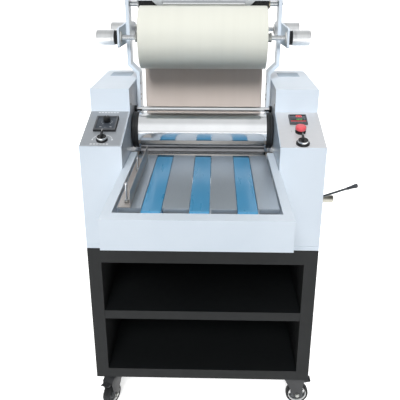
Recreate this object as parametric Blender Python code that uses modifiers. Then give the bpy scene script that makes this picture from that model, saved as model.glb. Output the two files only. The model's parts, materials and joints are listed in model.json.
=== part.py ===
"""Floor-standing single-side roll laminator on a wheeled cabinet.

Metres, +Z up, front towards -Y.  Everything is laid out in the machine's own frame: X = 0 is the
middle of the body, Y = 0 the front face of the body, Z = 0 the underside of the base plate.  One
empty carries that frame, so that the whole object's box stands centred on the world origin.
"""
import math

import bmesh
import bpy
from mathutils import Matrix, Vector

# ---------------------------------------------------------------- driving dimensions
BODY_HALF_WIDTH = 0.315
BODY_DEPTH = 0.4872
MACHINE_MID = -0.0045            # middle of the roller bay; the right housing is the wider one
BAY_HALF = 0.2017                # half the clear width between the two housings
BASE_HEIGHT = 0.0125
SHEET = 0.0015                   # sheet-metal thickness
GAP = 0.0003                     # clearance left between touching pieces

CABINET_HEIGHT = 0.4295
CASTER_HEIGHT = 0.114
FLOOR_TO_BASE = CABINET_HEIGHT + CASTER_HEIGHT

PANEL_FRONT_Z = 0.2894           # control panel, front edge
PANEL_REAR_Z = 0.3392            # control panel, rear edge
PANEL_REAR_Y = 0.1754
HOUSING_TOP_Z = 0.4014
PANEL_ANGLE = math.atan2(PANEL_REAR_Z - PANEL_FRONT_Z, PANEL_REAR_Y)
PANEL_LENGTH = math.hypot(PANEL_REAR_Z - PANEL_FRONT_Z, PANEL_REAR_Y)
PANEL_SHEET = 0.0012

TABLE_FRONT_Y = -0.3225
TABLE_REAR_Y = 0.1550
TABLE_HALF = 0.20365
TABLE_TOP_Z = 0.2277
TABLE_BOTTOM_Z = 0.1569
TABLE_OPEN_HALF = 0.1822
TABLE_OPEN_FRONT_Y = -0.2848
TABLE_OPEN_REAR_Y = 0.1395
BED_TOP_Z = 0.2180
RAIL_TOP_Z = 0.1860              # the frame's rear rail stays below the belts
BED_FRONT_Y = -0.2350
BED_REAR_Y = 0.1546
BED_LEG = 0.0075

BELT_WIDTH = 0.0440
BELT_PITCH = 0.1060
BELT_MIDDLE_X = -0.0008
BELT_THICKNESS = 0.0020
PULLEY_RADIUS = 0.0125
FRONT_PULLEY_Y = -0.2470
REAR_PULLEY_Y = 0.1400
PULLEY_Z = BED_TOP_Z - GAP - BELT_THICKNESS - PULLEY_RADIUS

HEATED_RADIUS = 0.0498
HEATED_Y = 0.2220
HEATED_Z = 0.2745
HEATED_HALF = 0.1820
RING_RADIUS = 0.0515
PRESSURE_RADIUS = 0.0300
PRESSURE_Z = HEATED_Z - HEATED_RADIUS - PRESSURE_RADIUS - GAP
PRESSURE_HALF = 0.1800
PRESSURE_TRAVEL = 0.0040

SUPPLY_Y = 0.2720
SHAFT_Z = 0.5280
REWIND_Y = 0.5150
SHAFT_RADIUS = 0.0068
FILM_RADIUS = 0.0857
FILM_HALF = 0.1766
CORE_RADIUS = 0.0285
WEB_THICKNESS = 0.0005
WEB_Y = SUPPLY_Y + FILM_RADIUS + GAP

UPRIGHT_FRONT_Y = 0.3110
UPRIGHT_DEPTH = 0.0500
UPRIGHT_THICKNESS = 0.0103
UPRIGHT_LOW_INNER = 0.1875       # from the machine's middle to the bar's inner face, lower leg
UPRIGHT_HIGH_INNER = 0.2120      # the same above the joggle
JOGGLE_LOW_Z = 0.4250
JOGGLE_HIGH_Z = 0.4480
UPRIGHT_TOP_Z = 0.6520

KNOB_RADIUS = 0.0212
KNOB_LENGTH = 0.0495
KNOB_RING_LENGTH = 0.0068
KNOB_RING_RADIUS = 0.0196
SHAFT_HALF = 0.2422              # a winding shaft ends here, inside its knobs' faces

WHEEL_RADIUS = 0.0340
WHEEL_WIDTH = 0.0260
CASTER_TRAIL = 0.0220
CASTER_STEM_X = 0.2700
CASTER_STEM_FRONT_Y = 0.0450
CASTER_STEM_REAR_Y = 0.4400

LEVER_Y = 0.2150
LEVER_Z = 0.0670
LEVER_GRIP_END = Vector((0.4390, 0.1550, 0.1320))

SMALL_STEPS = 20
ROUND_STEPS = 32
ROLLER_STEPS = 48

FRAME_SHIFT = Vector((-0.0640, -0.1069, FLOOR_TO_BASE))

# ---------------------------------------------------------------- scene set-up
for old in list(bpy.data.objects):
    bpy.data.objects.remove(old, do_unlink=True)

PARTS = bpy.data.collections.new("roll_laminator")
CUTTERS = bpy.data.collections.new("cutters")
for collection in (PARTS, CUTTERS):
    bpy.context.scene.collection.children.link(collection)

FRAME = bpy.data.objects.new("machine_frame", None)
FRAME.location = FRAME_SHIFT
PARTS.objects.link(FRAME)


def make_material(name, colour, roughness, metallic=0.0):
    """A Principled material of one colour."""
    made = bpy.data.materials.new(name)
    made.use_nodes = True
    shader = made.node_tree.nodes["Principled BSDF"]
    shader.inputs["Base Color"].default_value = (*colour, 1.0)
    shader.inputs["Roughness"].default_value = roughness
    shader.inputs["Metallic"].default_value = metallic
    return made


PALE_BLUE = make_material("pale_blue_paint", (0.70, 0.80, 0.90), 0.40)
CABINET_BLACK = make_material("black_cabinet_paint", (0.028, 0.030, 0.031), 0.55)
PANEL_GREY = make_material("grey_panel", (0.38, 0.43, 0.47), 0.45)
PANEL_LIGHT = make_material("light_panel", (0.72, 0.73, 0.76), 0.45)
CHROME = make_material("chrome", (0.80, 0.80, 0.80), 0.12, 1.0)
STEEL = make_material("brushed_steel", (0.55, 0.57, 0.58), 0.35, 1.0)
ALUMINIUM = make_material("aluminium", (0.78, 0.78, 0.78), 0.30, 1.0)
DARK_STEEL = make_material("dark_steel", (0.10, 0.10, 0.10), 0.50, 0.8)
BLACK_PLASTIC = make_material("black_plastic", (0.015, 0.015, 0.016), 0.45)
BLACK_RUBBER = make_material("black_rubber", (0.018, 0.018, 0.018), 0.70)
GREY_SILICONE = make_material("grey_silicone", (0.45, 0.45, 0.46), 0.60)
BELT_BLUE = make_material("belt_blue", (0.07, 0.29, 0.48), 0.25)
BUTTON_RED = make_material("button_red", (0.80, 0.08, 0.10), 0.30)
FILM_CREAM = make_material("film_cream", (0.88, 0.89, 0.83), 0.35)
FILM_BEIGE = make_material("film_beige", (0.58, 0.52, 0.49), 0.35)


# ---------------------------------------------------------------- helpers
def keep(obj, finish, parent=FRAME):
    """Files the object in the parts collection, under the machine frame, with its material."""
    for collection in list(obj.users_collection):
        collection.objects.unlink(obj)
    PARTS.objects.link(obj)
    obj.parent = parent
    obj.data.materials.clear()
    obj.data.materials.append(finish)
    return obj


def as_cutter(obj):
    """Files the object as a cutter: drawn as wire and never rendered."""
    for collection in list(obj.users_collection):
        collection.objects.unlink(obj)
    CUTTERS.objects.link(obj)
    obj.parent = FRAME
    obj.hide_render = True
    obj.display_type = "WIRE"
    return obj


def box_mesh(name, low, high, origin=(0.0, 0.0, 0.0)):
    """A box between two corners, its object origin at the given point."""
    low, high, origin = Vector(low), Vector(high), Vector(origin)
    bpy.ops.mesh.primitive_cube_add(size=1.0)
    obj = bpy.context.object
    obj.name = obj.data.name = name
    size = Matrix.Diagonal((*(high - low), 1.0))
    obj.data.transform(Matrix.Translation((low + high) / 2 - origin) @ size)
    obj.location = origin
    return obj


def bevel(obj, width, segments=2):
    """Rounds the edges of a mesh object."""
    rounding = obj.modifiers.new("rounded_edges", "BEVEL")
    rounding.width = width
    rounding.segments = segments
    rounding.limit_method = "ANGLE"
    return obj


def box(name, low, high, finish, origin=(0.0, 0.0, 0.0), edge=0.0, parent=FRAME):
    """A part that is a box with rounded edges."""
    obj = keep(box_mesh(name, low, high, origin), finish, parent)
    if edge:
        bevel(obj, edge)
    return obj


AXIS_TURNS = {"X": (0.0, math.pi / 2, 0.0), "Y": (-math.pi / 2, 0.0, 0.0), "Z": (0.0, 0.0, 0.0)}


def turned_mesh(name, profile, place=(0.0, 0.0, 0.0), axis="X", steps=ROUND_STEPS):
    """A turned shape: (radius, height) points, listed from high to low down the outer side.

    The profile starts and ends on the axis, or for a ring comes back up its bore.
    """
    mesh = bpy.data.meshes.new(name)
    points = [(radius, 0.0, height) for radius, height in profile]
    edges = [(index, index + 1) for index in range(len(points) - 1)]
    if profile[0][0] > 0.0:
        edges.append((len(points) - 1, 0))
    mesh.from_pydata(points, edges, [])
    obj = bpy.data.objects.new(name, mesh)
    bpy.context.scene.collection.objects.link(obj)
    screw = obj.modifiers.new("turned", "SCREW")
    screw.steps = steps
    screw.render_steps = steps
    screw.use_merge_vertices = True
    screw.merge_threshold = 0.00001
    screw.use_smooth_shade = True
    obj.rotation_euler = AXIS_TURNS[axis]
    obj.location = place
    return obj


def turned(name, profile, finish, place=(0.0, 0.0, 0.0), axis="X", steps=ROUND_STEPS, parent=FRAME):
    """A part that is turned about one axis."""
    return keep(turned_mesh(name, profile, place, axis, steps), finish, parent)


def rod_mesh(name, start, end, radius, steps=SMALL_STEPS, end_radius=None):
    """A closed cylinder or cone between two points."""
    start, end = Vector(start), Vector(end)
    mesh = bpy.data.meshes.new(name)
    shape = bmesh.new()
    bmesh.ops.create_cone(shape, cap_ends=True, segments=steps, radius1=radius,
                          radius2=radius if end_radius is None else end_radius,
                          depth=(end - start).length)
    shape.to_mesh(mesh)
    shape.free()
    obj = bpy.data.objects.new(name, mesh)
    bpy.context.scene.collection.objects.link(obj)
    obj.rotation_mode = "QUATERNION"
    obj.rotation_quaternion = (end - start).to_track_quat("Z", "Y")
    obj.location = (start + end) / 2
    return obj


def join(target, *others):
    """Joins closed shapes into one body, in the target's place."""
    for other in others:
        as_cutter(other)
        union = target.modifiers.new("join_" + other.name, "BOOLEAN")
        union.operation = "UNION"
        union.solver = "EXACT"
        union.object = other
    return target


def cut(target, *others):
    """Cuts closed shapes away from a part."""
    for other in others:
        as_cutter(other)
        difference = target.modifiers.new("cut_" + other.name, "BOOLEAN")
        difference.operation = "DIFFERENCE"
        difference.solver = "EXACT"
        difference.object = other
    return target


PLANE_TURNS = {"YZ": (math.pi / 2, 0.0, math.pi / 2), "XZ": (math.pi / 2, 0.0, 0.0)}
PLANE_SIDE = {"YZ": Vector((1.0, 0.0, 0.0)), "XZ": Vector((0.0, 1.0, 0.0))}


def arc(centre, radius, start, end, steps):
    """Points of an arc, angles in degrees."""
    angles = [math.radians(start + (end - start) * step / steps) for step in range(steps + 1)]
    return [(centre[0] + radius * math.cos(a), centre[1] + radius * math.sin(a)) for a in angles]


def plate_curve(name, loops, plane, side_low, side_high):
    """A flat plate: an outline and its holes in a plane, filled and extruded between two sides."""
    curve = bpy.data.curves.new(name, "CURVE")
    curve.dimensions = "2D"
    curve.fill_mode = "BOTH"
    curve.extrude = (side_high - side_low) / 2
    for loop in loops:
        spline = curve.splines.new("POLY")
        spline.points.add(len(loop) - 1)
        for point, (u, v) in zip(spline.points, loop):
            point.co = (u, v, 0.0, 1.0)
        spline.use_cyclic_u = True
    obj = bpy.data.objects.new(name, curve)
    bpy.context.scene.collection.objects.link(obj)
    obj.rotation_euler = PLANE_TURNS[plane]
    obj.location = PLANE_SIDE[plane] * (side_low + side_high) / 2
    return obj


def round_hole(u, v, radius):
    """The outline of a round hole."""
    return arc((u, v), radius, 0, 360 * (1 - 1 / SMALL_STEPS), SMALL_STEPS - 1)


def plate_mesh(name, loops, plane, side_low, side_high):
    """The same plate as a closed mesh, ready to be joined or cut."""
    flat = plate_curve(name + "_outline", loops, plane, side_low, side_high)
    bpy.context.view_layer.update()
    evaluated = flat.evaluated_get(bpy.context.evaluated_depsgraph_get())
    mesh = bpy.data.meshes.new_from_object(evaluated)
    shape = bmesh.new()
    shape.from_mesh(mesh)
    bmesh.ops.remove_doubles(shape, verts=shape.verts, dist=0.00001)
    bmesh.ops.recalc_face_normals(shape, faces=shape.faces)
    shape.to_mesh(mesh)
    shape.free()
    obj = bpy.data.objects.new(name, mesh)
    bpy.context.scene.collection.objects.link(obj)
    obj.matrix_world = flat.matrix_world
    bpy.data.objects.remove(flat, do_unlink=True)
    return obj


def solidify(obj, thickness):
    """Gives an open surface its sheet thickness, behind its outward side."""
    skin = obj.modifiers.new("sheet", "SOLIDIFY")
    skin.thickness = thickness
    skin.offset = -1.0
    skin.use_even_offset = True
    return obj


def bent_sheet(name, runs, plane, side_low, side_high, thickness, finish):
    """Bent sheets of one thickness: each run is a line in a plane, drawn out between two sides.

    The sheet lies on the right-hand side of its run.
    """
    to_space = {"YZ": lambda u, v, side: Vector((side, u, v)), "XZ": lambda u, v, side: Vector((u, side, v))}[plane]
    shape = bmesh.new()
    for run in runs:
        edge_low = [shape.verts.new(to_space(u, v, side_low)) for u, v in run]
        lines = [shape.edges.new(pair) for pair in zip(edge_low, edge_low[1:])]
        drawn = bmesh.ops.extrude_edge_only(shape, edges=lines)["geom"]
        moved = [item for item in drawn if isinstance(item, bmesh.types.BMVert)]
        bmesh.ops.translate(shape, verts=moved, vec=PLANE_SIDE[plane] * (side_high - side_low))
        faces = [item for item in drawn if isinstance(item, bmesh.types.BMFace)]
        first = lines[0].link_faces[0]
        first.normal_update()
        (u_start, v_start), (u_end, v_end) = run[:2]
        left_hand = to_space(v_start - v_end, u_end - u_start, 0.0)
        if first.normal.dot(left_hand) < 0.0:
            bmesh.ops.reverse_faces(shape, faces=faces)
    mesh = bpy.data.meshes.new(name)
    shape.to_mesh(mesh)
    shape.free()
    obj = bpy.data.objects.new(name, mesh)
    bpy.context.scene.collection.objects.link(obj)
    return solidify(keep(obj, finish), thickness)


def framed_shell(name, low, high, open_low, open_high, face, depth, finish, back_open=False):
    """A sheet-metal box with a rectangular opening in one face and a lining drawn in from it.

    face is the open side, "-Y" or "+Z"; with back_open the opposite side is left off too.
    """
    axis, sign = {"-Y": (1, -1), "+Z": (2, 1)}[face]
    obj = box_mesh(name, low, high)
    shape = bmesh.new()
    shape.from_mesh(obj.data)
    outward = Vector((0.0, 0.0, 0.0))
    outward[axis] = sign
    shape.faces.ensure_lookup_table()
    front = max(shape.faces, key=lambda item: item.normal.dot(outward))
    back = min(shape.faces, key=lambda item: item.normal.dot(outward))
    bmesh.ops.inset_region(shape, faces=[front], thickness=0.01)
    middle = front.calc_center_median()
    for vert in front.verts:
        for other in range(3):
            if other != axis:
                vert.co[other] = open_low[other] if vert.co[other] < middle[other] else open_high[other]
    lining = bmesh.ops.extrude_face_region(shape, geom=[front])["geom"]
    moved = [item for item in lining if isinstance(item, bmesh.types.BMVert)]
    bmesh.ops.translate(shape, verts=moved, vec=-outward * depth)
    inner = [item for item in lining if isinstance(item, bmesh.types.BMFace)]
    spare = set(inner) | ({front} if front.is_valid else set()) | ({back} if back_open else set())
    bmesh.ops.delete(shape, geom=list(spare), context="FACES_ONLY")
    loose = [edge for edge in shape.edges if not edge.link_faces]
    bmesh.ops.delete(shape, geom=loose, context="EDGES")
    shape.to_mesh(obj.data)
    shape.free()
    return solidify(keep(obj, finish), SHEET)


def mirrored(value, side):
    """The X of a point at a distance from the machine's middle, on side -1 (left) or +1 (right)."""
    return MACHINE_MID + side * value


def span(inner, outer, side):
    """Low and high X of something between two distances from the middle, on one side."""
    return sorted((mirrored(inner, side), mirrored(outer, side)))


# ---------------------------------------------------------------- cabinet and casters
OPENING_HALF = 0.2784
OPENING_LOW_Z = -0.3980
OPENING_HIGH_Z = -0.0437
SHELF_TOP_Z = -0.1980
SHELF_LIP = 0.0272


def build_cabinet():
    """Open-fronted black cabinet with a lined frame, its welded shelf and four caster plates."""
    cabinet = framed_shell("cabinet",
                           (-BODY_HALF_WIDTH, 0.0, -CABINET_HEIGHT), (BODY_HALF_WIDTH, BODY_DEPTH, -GAP),
                           (-OPENING_HALF, 0.0, OPENING_LOW_Z), (OPENING_HALF, 0.0, OPENING_HIGH_Z),
                           "-Y", BODY_DEPTH - 0.010, CABINET_BLACK)
    weld = SHEET / 2
    shelf_front, shelf_rear = SHEET, BODY_DEPTH - 0.012
    profile = [(shelf_front, SHELF_TOP_Z - SHELF_LIP), (shelf_front, SHELF_TOP_Z),
               (shelf_rear, SHELF_TOP_Z), (shelf_rear, SHELF_TOP_Z - SHELF_LIP)]
    half = OPENING_HALF + weld
    join(cabinet, bent_sheet("shelf", [profile], "YZ", -half, half, SHEET, CABINET_BLACK))
    under = -CABINET_HEIGHT
    for name, (side, stem_y, _, _) in CASTERS.items():
        stem_x = side * CASTER_STEM_X
        join(cabinet, box_mesh("caster_plate_" + name,
                               (stem_x - PLATE_HALF, stem_y - PLATE_HALF, under - PLATE_THICKNESS),
                               (stem_x + PLATE_HALF, stem_y + PLATE_HALF, under + weld)))


CASTERS = {                      # name: (side, stem Y, swivel angle in degrees, has a brake)
    "front_left": (-1, CASTER_STEM_FRONT_Y, -24.0, True),
    "front_right": (1, CASTER_STEM_FRONT_Y, 90.0, True),
    "rear_left": (-1, CASTER_STEM_REAR_Y, 150.0, False),
    "rear_right": (1, CASTER_STEM_REAR_Y, 205.0, False),
}
PLATE_THICKNESS = 0.0030
PLATE_HALF = 0.0300
FORK_HALF = 0.0172
FORK_SHEET = 0.0025
FORK_TOP = -0.0160               # below the cabinet's underside
AXLE_DROP = CASTER_HEIGHT - WHEEL_RADIUS
PEDAL_HINGE = (0.0, -0.0330, -0.0290)


def build_casters():
    """Four swivel casters: forks, wheels and the two front brake pedals."""
    for name, (side, stem_y, angle, braked) in CASTERS.items():
        build_caster(name, Vector((side * CASTER_STEM_X, stem_y, -CABINET_HEIGHT)), angle, braked)


def build_caster(name, stem, angle, braked):
    """One fork with its swivel race, wheel and pedal, turned to its swivel angle."""
    race_top = -PLATE_THICKNESS - GAP
    race = [(0.0, race_top), (0.0225, race_top), (0.0235, race_top - 0.004),
            (0.0225, FORK_TOP + 0.001), (0.0150, FORK_TOP - 0.001), (0.0, FORK_TOP - 0.001)]
    fork = keep(turned_mesh("caster_fork_" + name, race, axis="Z", steps=SMALL_STEPS), DARK_STEEL)
    fork.location = stem
    fork.rotation_euler = (0.0, 0.0, math.radians(angle))
    inset = FORK_SHEET / 3
    saddle = box_mesh("saddle_" + name, (inset - FORK_HALF, inset - 0.0230, FORK_TOP - FORK_SHEET),
                      (FORK_HALF - inset, 0.0200 - inset, FORK_TOP - inset / 2))
    leg = [(0.0200, FORK_TOP), (-0.0230, FORK_TOP), (-0.0330, -0.0560),
           (-CASTER_TRAIL - 0.0100, -AXLE_DROP - 0.0060), (-CASTER_TRAIL, -AXLE_DROP - 0.0100),
           (-CASTER_TRAIL + 0.0100, -AXLE_DROP - 0.0060)]
    sides = [plate_mesh(f"leg_{tag}_{name}", [leg], "YZ", *sorted((s * FORK_HALF, s * (FORK_HALF - FORK_SHEET))))
             for tag, s in (("left", -1), ("right", 1))]
    axle = rod_mesh("axle_" + name, (-FORK_HALF - 0.0030, -CASTER_TRAIL, -AXLE_DROP),
                    (FORK_HALF + 0.0030, -CASTER_TRAIL, -AXLE_DROP), 0.0045, 12)
    for piece in (saddle, *sides, axle):
        join(fork, piece)
        piece.parent = fork
    half, bore = WHEEL_WIDTH / 2, 0.0050
    tread = [(WHEEL_RADIUS - 0.0040, half), (WHEEL_RADIUS, half - 0.0050), (WHEEL_RADIUS, -half + 0.0050),
             (WHEEL_RADIUS - 0.0040, -half), (bore, -half), (bore, half)]
    turned("caster_wheel_" + name, tread, BLACK_RUBBER, (0.0, -CASTER_TRAIL, -AXLE_DROP), "X",
           ROUND_STEPS, fork)
    if braked:
        pedal = box("caster_pedal_" + name, (-0.0130, -0.0610, -0.0330), (0.0130, -0.0360, -0.0275),
                    BLACK_PLASTIC, PEDAL_HINGE, 0.0010, fork)
        pedal.rotation_euler = (math.radians(12.0), 0.0, 0.0)


# ---------------------------------------------------------------- body
def housing_outline(low_z, drop):
    """Side view of a housing: low sloping front, raised box behind."""
    return [(0.0, low_z), (0.0, PANEL_FRONT_Z - drop), (PANEL_REAR_Y, PANEL_REAR_Z - drop),
            (PANEL_REAR_Y, HOUSING_TOP_Z), (BODY_DEPTH, HOUSING_TOP_Z), (BODY_DEPTH, low_z)]


HOUSING_LOW_Z = BASE_HEIGHT + 2 * GAP
JOURNAL_RADIUS = 0.0125
PRESSURE_JOURNAL_RADIUS = 0.0075


def build_housing(name, side):
    """One sheet-metal side housing, open underneath, with its shaft holes."""
    inner = mirrored(BAY_HALF, side)
    low, high = sorted((inner, side * BODY_HALF_WIDTH))
    shell = plate_mesh(name, [housing_outline(HOUSING_LOW_Z, PANEL_SHEET + GAP)], "YZ", low, high)
    shape = bmesh.new()
    shape.from_mesh(shell.data)
    bottom = [face for face in shape.faces
              if all(abs(vert.co.y - HOUSING_LOW_Z) < GAP / 10 for vert in face.verts)]
    bmesh.ops.delete(shape, geom=bottom, context="FACES_ONLY")
    loose = [edge for edge in shape.edges if not edge.link_faces]
    bmesh.ops.delete(shape, geom=loose, context="EDGES")
    shape.to_mesh(shell.data)
    shape.free()
    keep(shell, PALE_BLUE)
    solidify(shell, SHEET)
    wall = (inner - side * 0.004, inner + side * 0.006)
    cut(shell,
        rod_mesh(name + "_journal_hole", (wall[0], HEATED_Y, HEATED_Z), (wall[1], HEATED_Y, HEATED_Z),
                 JOURNAL_RADIUS + 0.0025),
        rod_mesh(name + "_pressure_hole", (wall[0], HEATED_Y, PRESSURE_Z - PRESSURE_TRAVEL / 2),
                 (wall[1], HEATED_Y, PRESSURE_Z - PRESSURE_TRAVEL / 2),
                 PRESSURE_JOURNAL_RADIUS + 0.0035))
    if side > 0:
        cut(shell, rod_mesh(name + "_lever_hole", (BODY_HALF_WIDTH - 0.006, LEVER_Y, LEVER_Z),
                            (BODY_HALF_WIDTH + 0.004, LEVER_Y, LEVER_Z), 0.0070))
    return shell


FRAME_INNER = 0.2075             # the side frames stand just outside the housings' inner walls
FRAME_OUTER = 0.2155
FRAME_OUTLINE = [(0.030, 0.0145), (0.460, 0.0145), (0.460, 0.380), (0.195, 0.380), (0.180, 0.310),
                 (0.030, 0.270)]
WINDOW_HALF = 0.0225
BLOCK_RISE = 0.0205


def build_body():
    """Base plate, the two housings, the bearing side frames inside them and the drive motor."""
    tray = box_mesh("base_plate", (-BODY_HALF_WIDTH, 0.0, 0.0), (BODY_HALF_WIDTH, BODY_DEPTH, BASE_HEIGHT))
    shape = bmesh.new()
    shape.from_mesh(tray.data)
    underside = [face for face in shape.faces if face.normal.z < -0.9]
    bmesh.ops.delete(shape, geom=underside, context="FACES_ONLY")
    shape.to_mesh(tray.data)
    shape.free()
    solidify(keep(tray, PALE_BLUE), 0.0020)
    build_housing("left_housing", -1)
    build_housing("right_housing", 1)
    for name, side in (("left_side_frame", -1), ("right_side_frame", 1)):
        low, high = span(FRAME_INNER, FRAME_OUTER, side)
        frame = keep(plate_mesh(name, [FRAME_OUTLINE, round_hole(HEATED_Y, HEATED_Z, JOURNAL_RADIUS + GAP)],
                                "YZ", low, high), STEEL)
        window = (WINDOW_HALF, PRESSURE_Z - WINDOW_HALF - PRESSURE_TRAVEL - GAP, PRESSURE_Z + BLOCK_RISE + GAP)
        cut(frame, box_mesh(name + "_window", (low - 0.01, HEATED_Y - window[0], window[1]),
                            (high + 0.01, HEATED_Y + window[0], window[2])))
    motor = box("drive_motor", (-0.2960, 0.0700, 0.0145), (-0.2360, 0.1300, 0.0900), DARK_STEEL, edge=0.003)
    join(motor, rod_mesh("motor_can", (-0.2660, 0.1250, 0.0560), (-0.2660, 0.2000, 0.0560), 0.0290),
         rod_mesh("motor_shaft", (-0.2400, 0.1000, 0.0600), (-0.2260, 0.1000, 0.0600), 0.0060, 12))


# ---------------------------------------------------------------- control panels
def panel_frame(name):
    """An empty at the foot of a panel: its Y runs up the slope and its Z is square to the panel."""
    empty = bpy.data.objects.new(name, None)
    empty.location = (0.0, 0.0, PANEL_FRONT_Z)
    empty.rotation_euler = (PANEL_ANGLE, 0.0, 0.0)
    empty.parent = FRAME
    PARTS.objects.link(empty)
    return empty


def build_selector(name, place, base_radius, bezel_radius, parent):
    """A two-way rotary selector: black base with a chrome bezel, and its bar handle."""
    base = [(0.0, 0.0098), (bezel_radius - 0.0016, 0.0098), (bezel_radius, 0.0080),
            (bezel_radius, 0.0050), (base_radius - 0.0010, 0.0048), (base_radius, 0.0036),
            (base_radius, GAP), (0.0, GAP)]
    turned(name + "_base", base, CHROME, (*place, 0.0), "Z", ROUND_STEPS, parent)
    head = [(0.0, 0.0150), (0.0085, 0.0150), (0.0095, 0.0140), (0.0095, 0.0101), (0.0, 0.0101)]
    handle = turned(name + "_handle", head, BLACK_PLASTIC, (*place, 0.0), "Z", SMALL_STEPS, parent)
    bar = box_mesh(name + "_bar", (-0.0027, -0.0105, 0.0120), (0.0027, 0.0215, 0.0215))
    bevel(bar, 0.0008, 1)
    join(handle, bar)
    bar.parent = parent
    bar.location = (*place, 0.0)


def build_controls():
    """Both control panels and the instruments on them."""
    left, right = panel_frame("left_panel_frame"), panel_frame("right_panel_frame")
    inner_left, inner_right = mirrored(BAY_HALF, -1), mirrored(BAY_HALF, 1)
    edge = 0.0020
    box("left_panel", (-BODY_HALF_WIDTH + 0.0005, 0.0010, -PANEL_SHEET),
        (inner_left - edge, PANEL_LENGTH - 0.0010, 0.0), PANEL_GREY, parent=left)
    box("right_panel", (inner_right + edge, 0.0010, -PANEL_SHEET),
        (BODY_HALF_WIDTH - 0.0005, PANEL_LENGTH - 0.0010, 0.0), PANEL_LIGHT, parent=right)
    box("speed_controller", (-0.2907, 0.0703, GAP), (-0.2306, 0.1433, 0.0083), BLACK_PLASTIC,
        edge=0.0012, parent=left)
    knob = [(0.0, 0.0225), (0.0080, 0.0225), (0.0090, 0.0212), (0.0093, 0.0110), (0.0093, 0.0086),
            (0.0, 0.0086)]
    turned("speed_knob", knob, BLACK_PLASTIC, (-0.2588, 0.1120, 0.0), "Z", SMALL_STEPS, left)
    build_selector("left_selector", (-0.2600, 0.0292), 0.0150, 0.0130, left)
    box("temperature_controller", (0.2316, 0.1125, GAP), (0.2796, 0.1607, 0.0064), BLACK_PLASTIC,
        edge=0.0012, parent=right)
    collar = [(0.0112, 0.0060), (0.0120, 0.0050), (0.0120, GAP), (0.0066, GAP), (0.0066, 0.0060)]
    turned("stop_button_base", collar, BLACK_PLASTIC, (0.2556, 0.0757, 0.0), "Z", SMALL_STEPS, right)
    head = [(0.0, 0.0190), (0.0070, 0.0184), (0.0110, 0.0166), (0.0130, 0.0138), (0.0130, 0.0110),
            (0.0115, 0.0095), (0.0062, 0.0093), (0.0062, 0.0040), (0.0, 0.0040)]
    turned("stop_button", head, BUTTON_RED, (0.2556, 0.0757, 0.0), "Z", SMALL_STEPS, right)
    build_selector("right_selector", (0.2556, 0.0190), 0.0175, 0.0140, right)


# ---------------------------------------------------------------- feed table
def belt_places():
    """Middle X of each feed belt, left to right."""
    return [BELT_MIDDLE_X + BELT_PITCH * step for step in (-1, 0, 1)]


def strip_edges():
    """Low and high X of the four bed strips, which lie between and beside the belts."""
    side_gap = 0.0012
    half = BELT_WIDTH / 2 + side_gap
    inner = TABLE_OPEN_HALF - SHEET - GAP
    cuts = [mirrored(inner, -1)]
    for place in belt_places():
        cuts += [place - half, place + half]
    cuts.append(mirrored(inner, 1))
    return list(zip(cuts[0::2], cuts[1::2]))


def build_table():
    """The projecting table frame, bed strips, belts, their two shafts and the side guide."""
    frame = framed_shell("table_frame",
                         (MACHINE_MID - TABLE_HALF, TABLE_FRONT_Y, TABLE_BOTTOM_Z),
                         (MACHINE_MID + TABLE_HALF, TABLE_REAR_Y, TABLE_TOP_Z),
                         (MACHINE_MID - TABLE_OPEN_HALF, TABLE_OPEN_FRONT_Y, 0.0),
                         (MACHINE_MID + TABLE_OPEN_HALF, TABLE_OPEN_REAR_Y, 0.0),
                         "+Z", TABLE_TOP_Z - TABLE_BOTTOM_Z, PALE_BLUE, back_open=True)
    narrow_table_rear(frame)
    cut(frame, box_mesh("table_rear_notch",
                        (mirrored(TABLE_OPEN_HALF, -1), TABLE_OPEN_REAR_Y - 0.0100, RAIL_TOP_Z),
                        (mirrored(TABLE_OPEN_HALF, 1), TABLE_REAR_Y + 0.0100, TABLE_TOP_Z + 0.0100)))
    runs = [[(low, BED_TOP_Z - BED_LEG), (low, BED_TOP_Z), (high, BED_TOP_Z), (high, BED_TOP_Z - BED_LEG)]
            for low, high in strip_edges()]
    bed = bent_sheet("bed_strips", runs, "XZ", BED_FRONT_Y, BED_REAR_Y, 0.0010, STEEL)
    inner = TABLE_OPEN_HALF - SHEET - 2 * GAP
    for tag, y in (("front", BED_FRONT_Y + 0.0500), ("rear", BED_REAR_Y - 0.0700)):
        join(bed, box_mesh("bed_tie_" + tag, (mirrored(inner, -1), y, BED_TOP_Z - BED_LEG - 0.0020),
                           (mirrored(inner, 1), y + 0.0200, BED_TOP_Z - BED_LEG + 0.0010)))
    build_belts()
    build_side_guide()


def narrow_table_rear(frame):
    """Steps the frame in where it passes between the housings."""
    step_y = -GAP
    narrower = TABLE_HALF - BAY_HALF + 2 * GAP
    shape = bmesh.new()
    shape.from_mesh(frame.data)
    for y in (step_y - GAP, step_y):
        everything = list(shape.verts) + list(shape.edges) + list(shape.faces)
        bmesh.ops.bisect_plane(shape, geom=everything, plane_co=(0.0, y, 0.0), plane_no=(0.0, 1.0, 0.0))
    for vert in shape.verts:
        outside = abs(vert.co.x - MACHINE_MID) > (TABLE_OPEN_HALF + TABLE_HALF) / 2
        if outside and vert.co.y > step_y - GAP / 2:
            vert.co.x -= math.copysign(narrower, vert.co.x - MACHINE_MID)
    shape.to_mesh(frame.data)
    shape.free()


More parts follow.
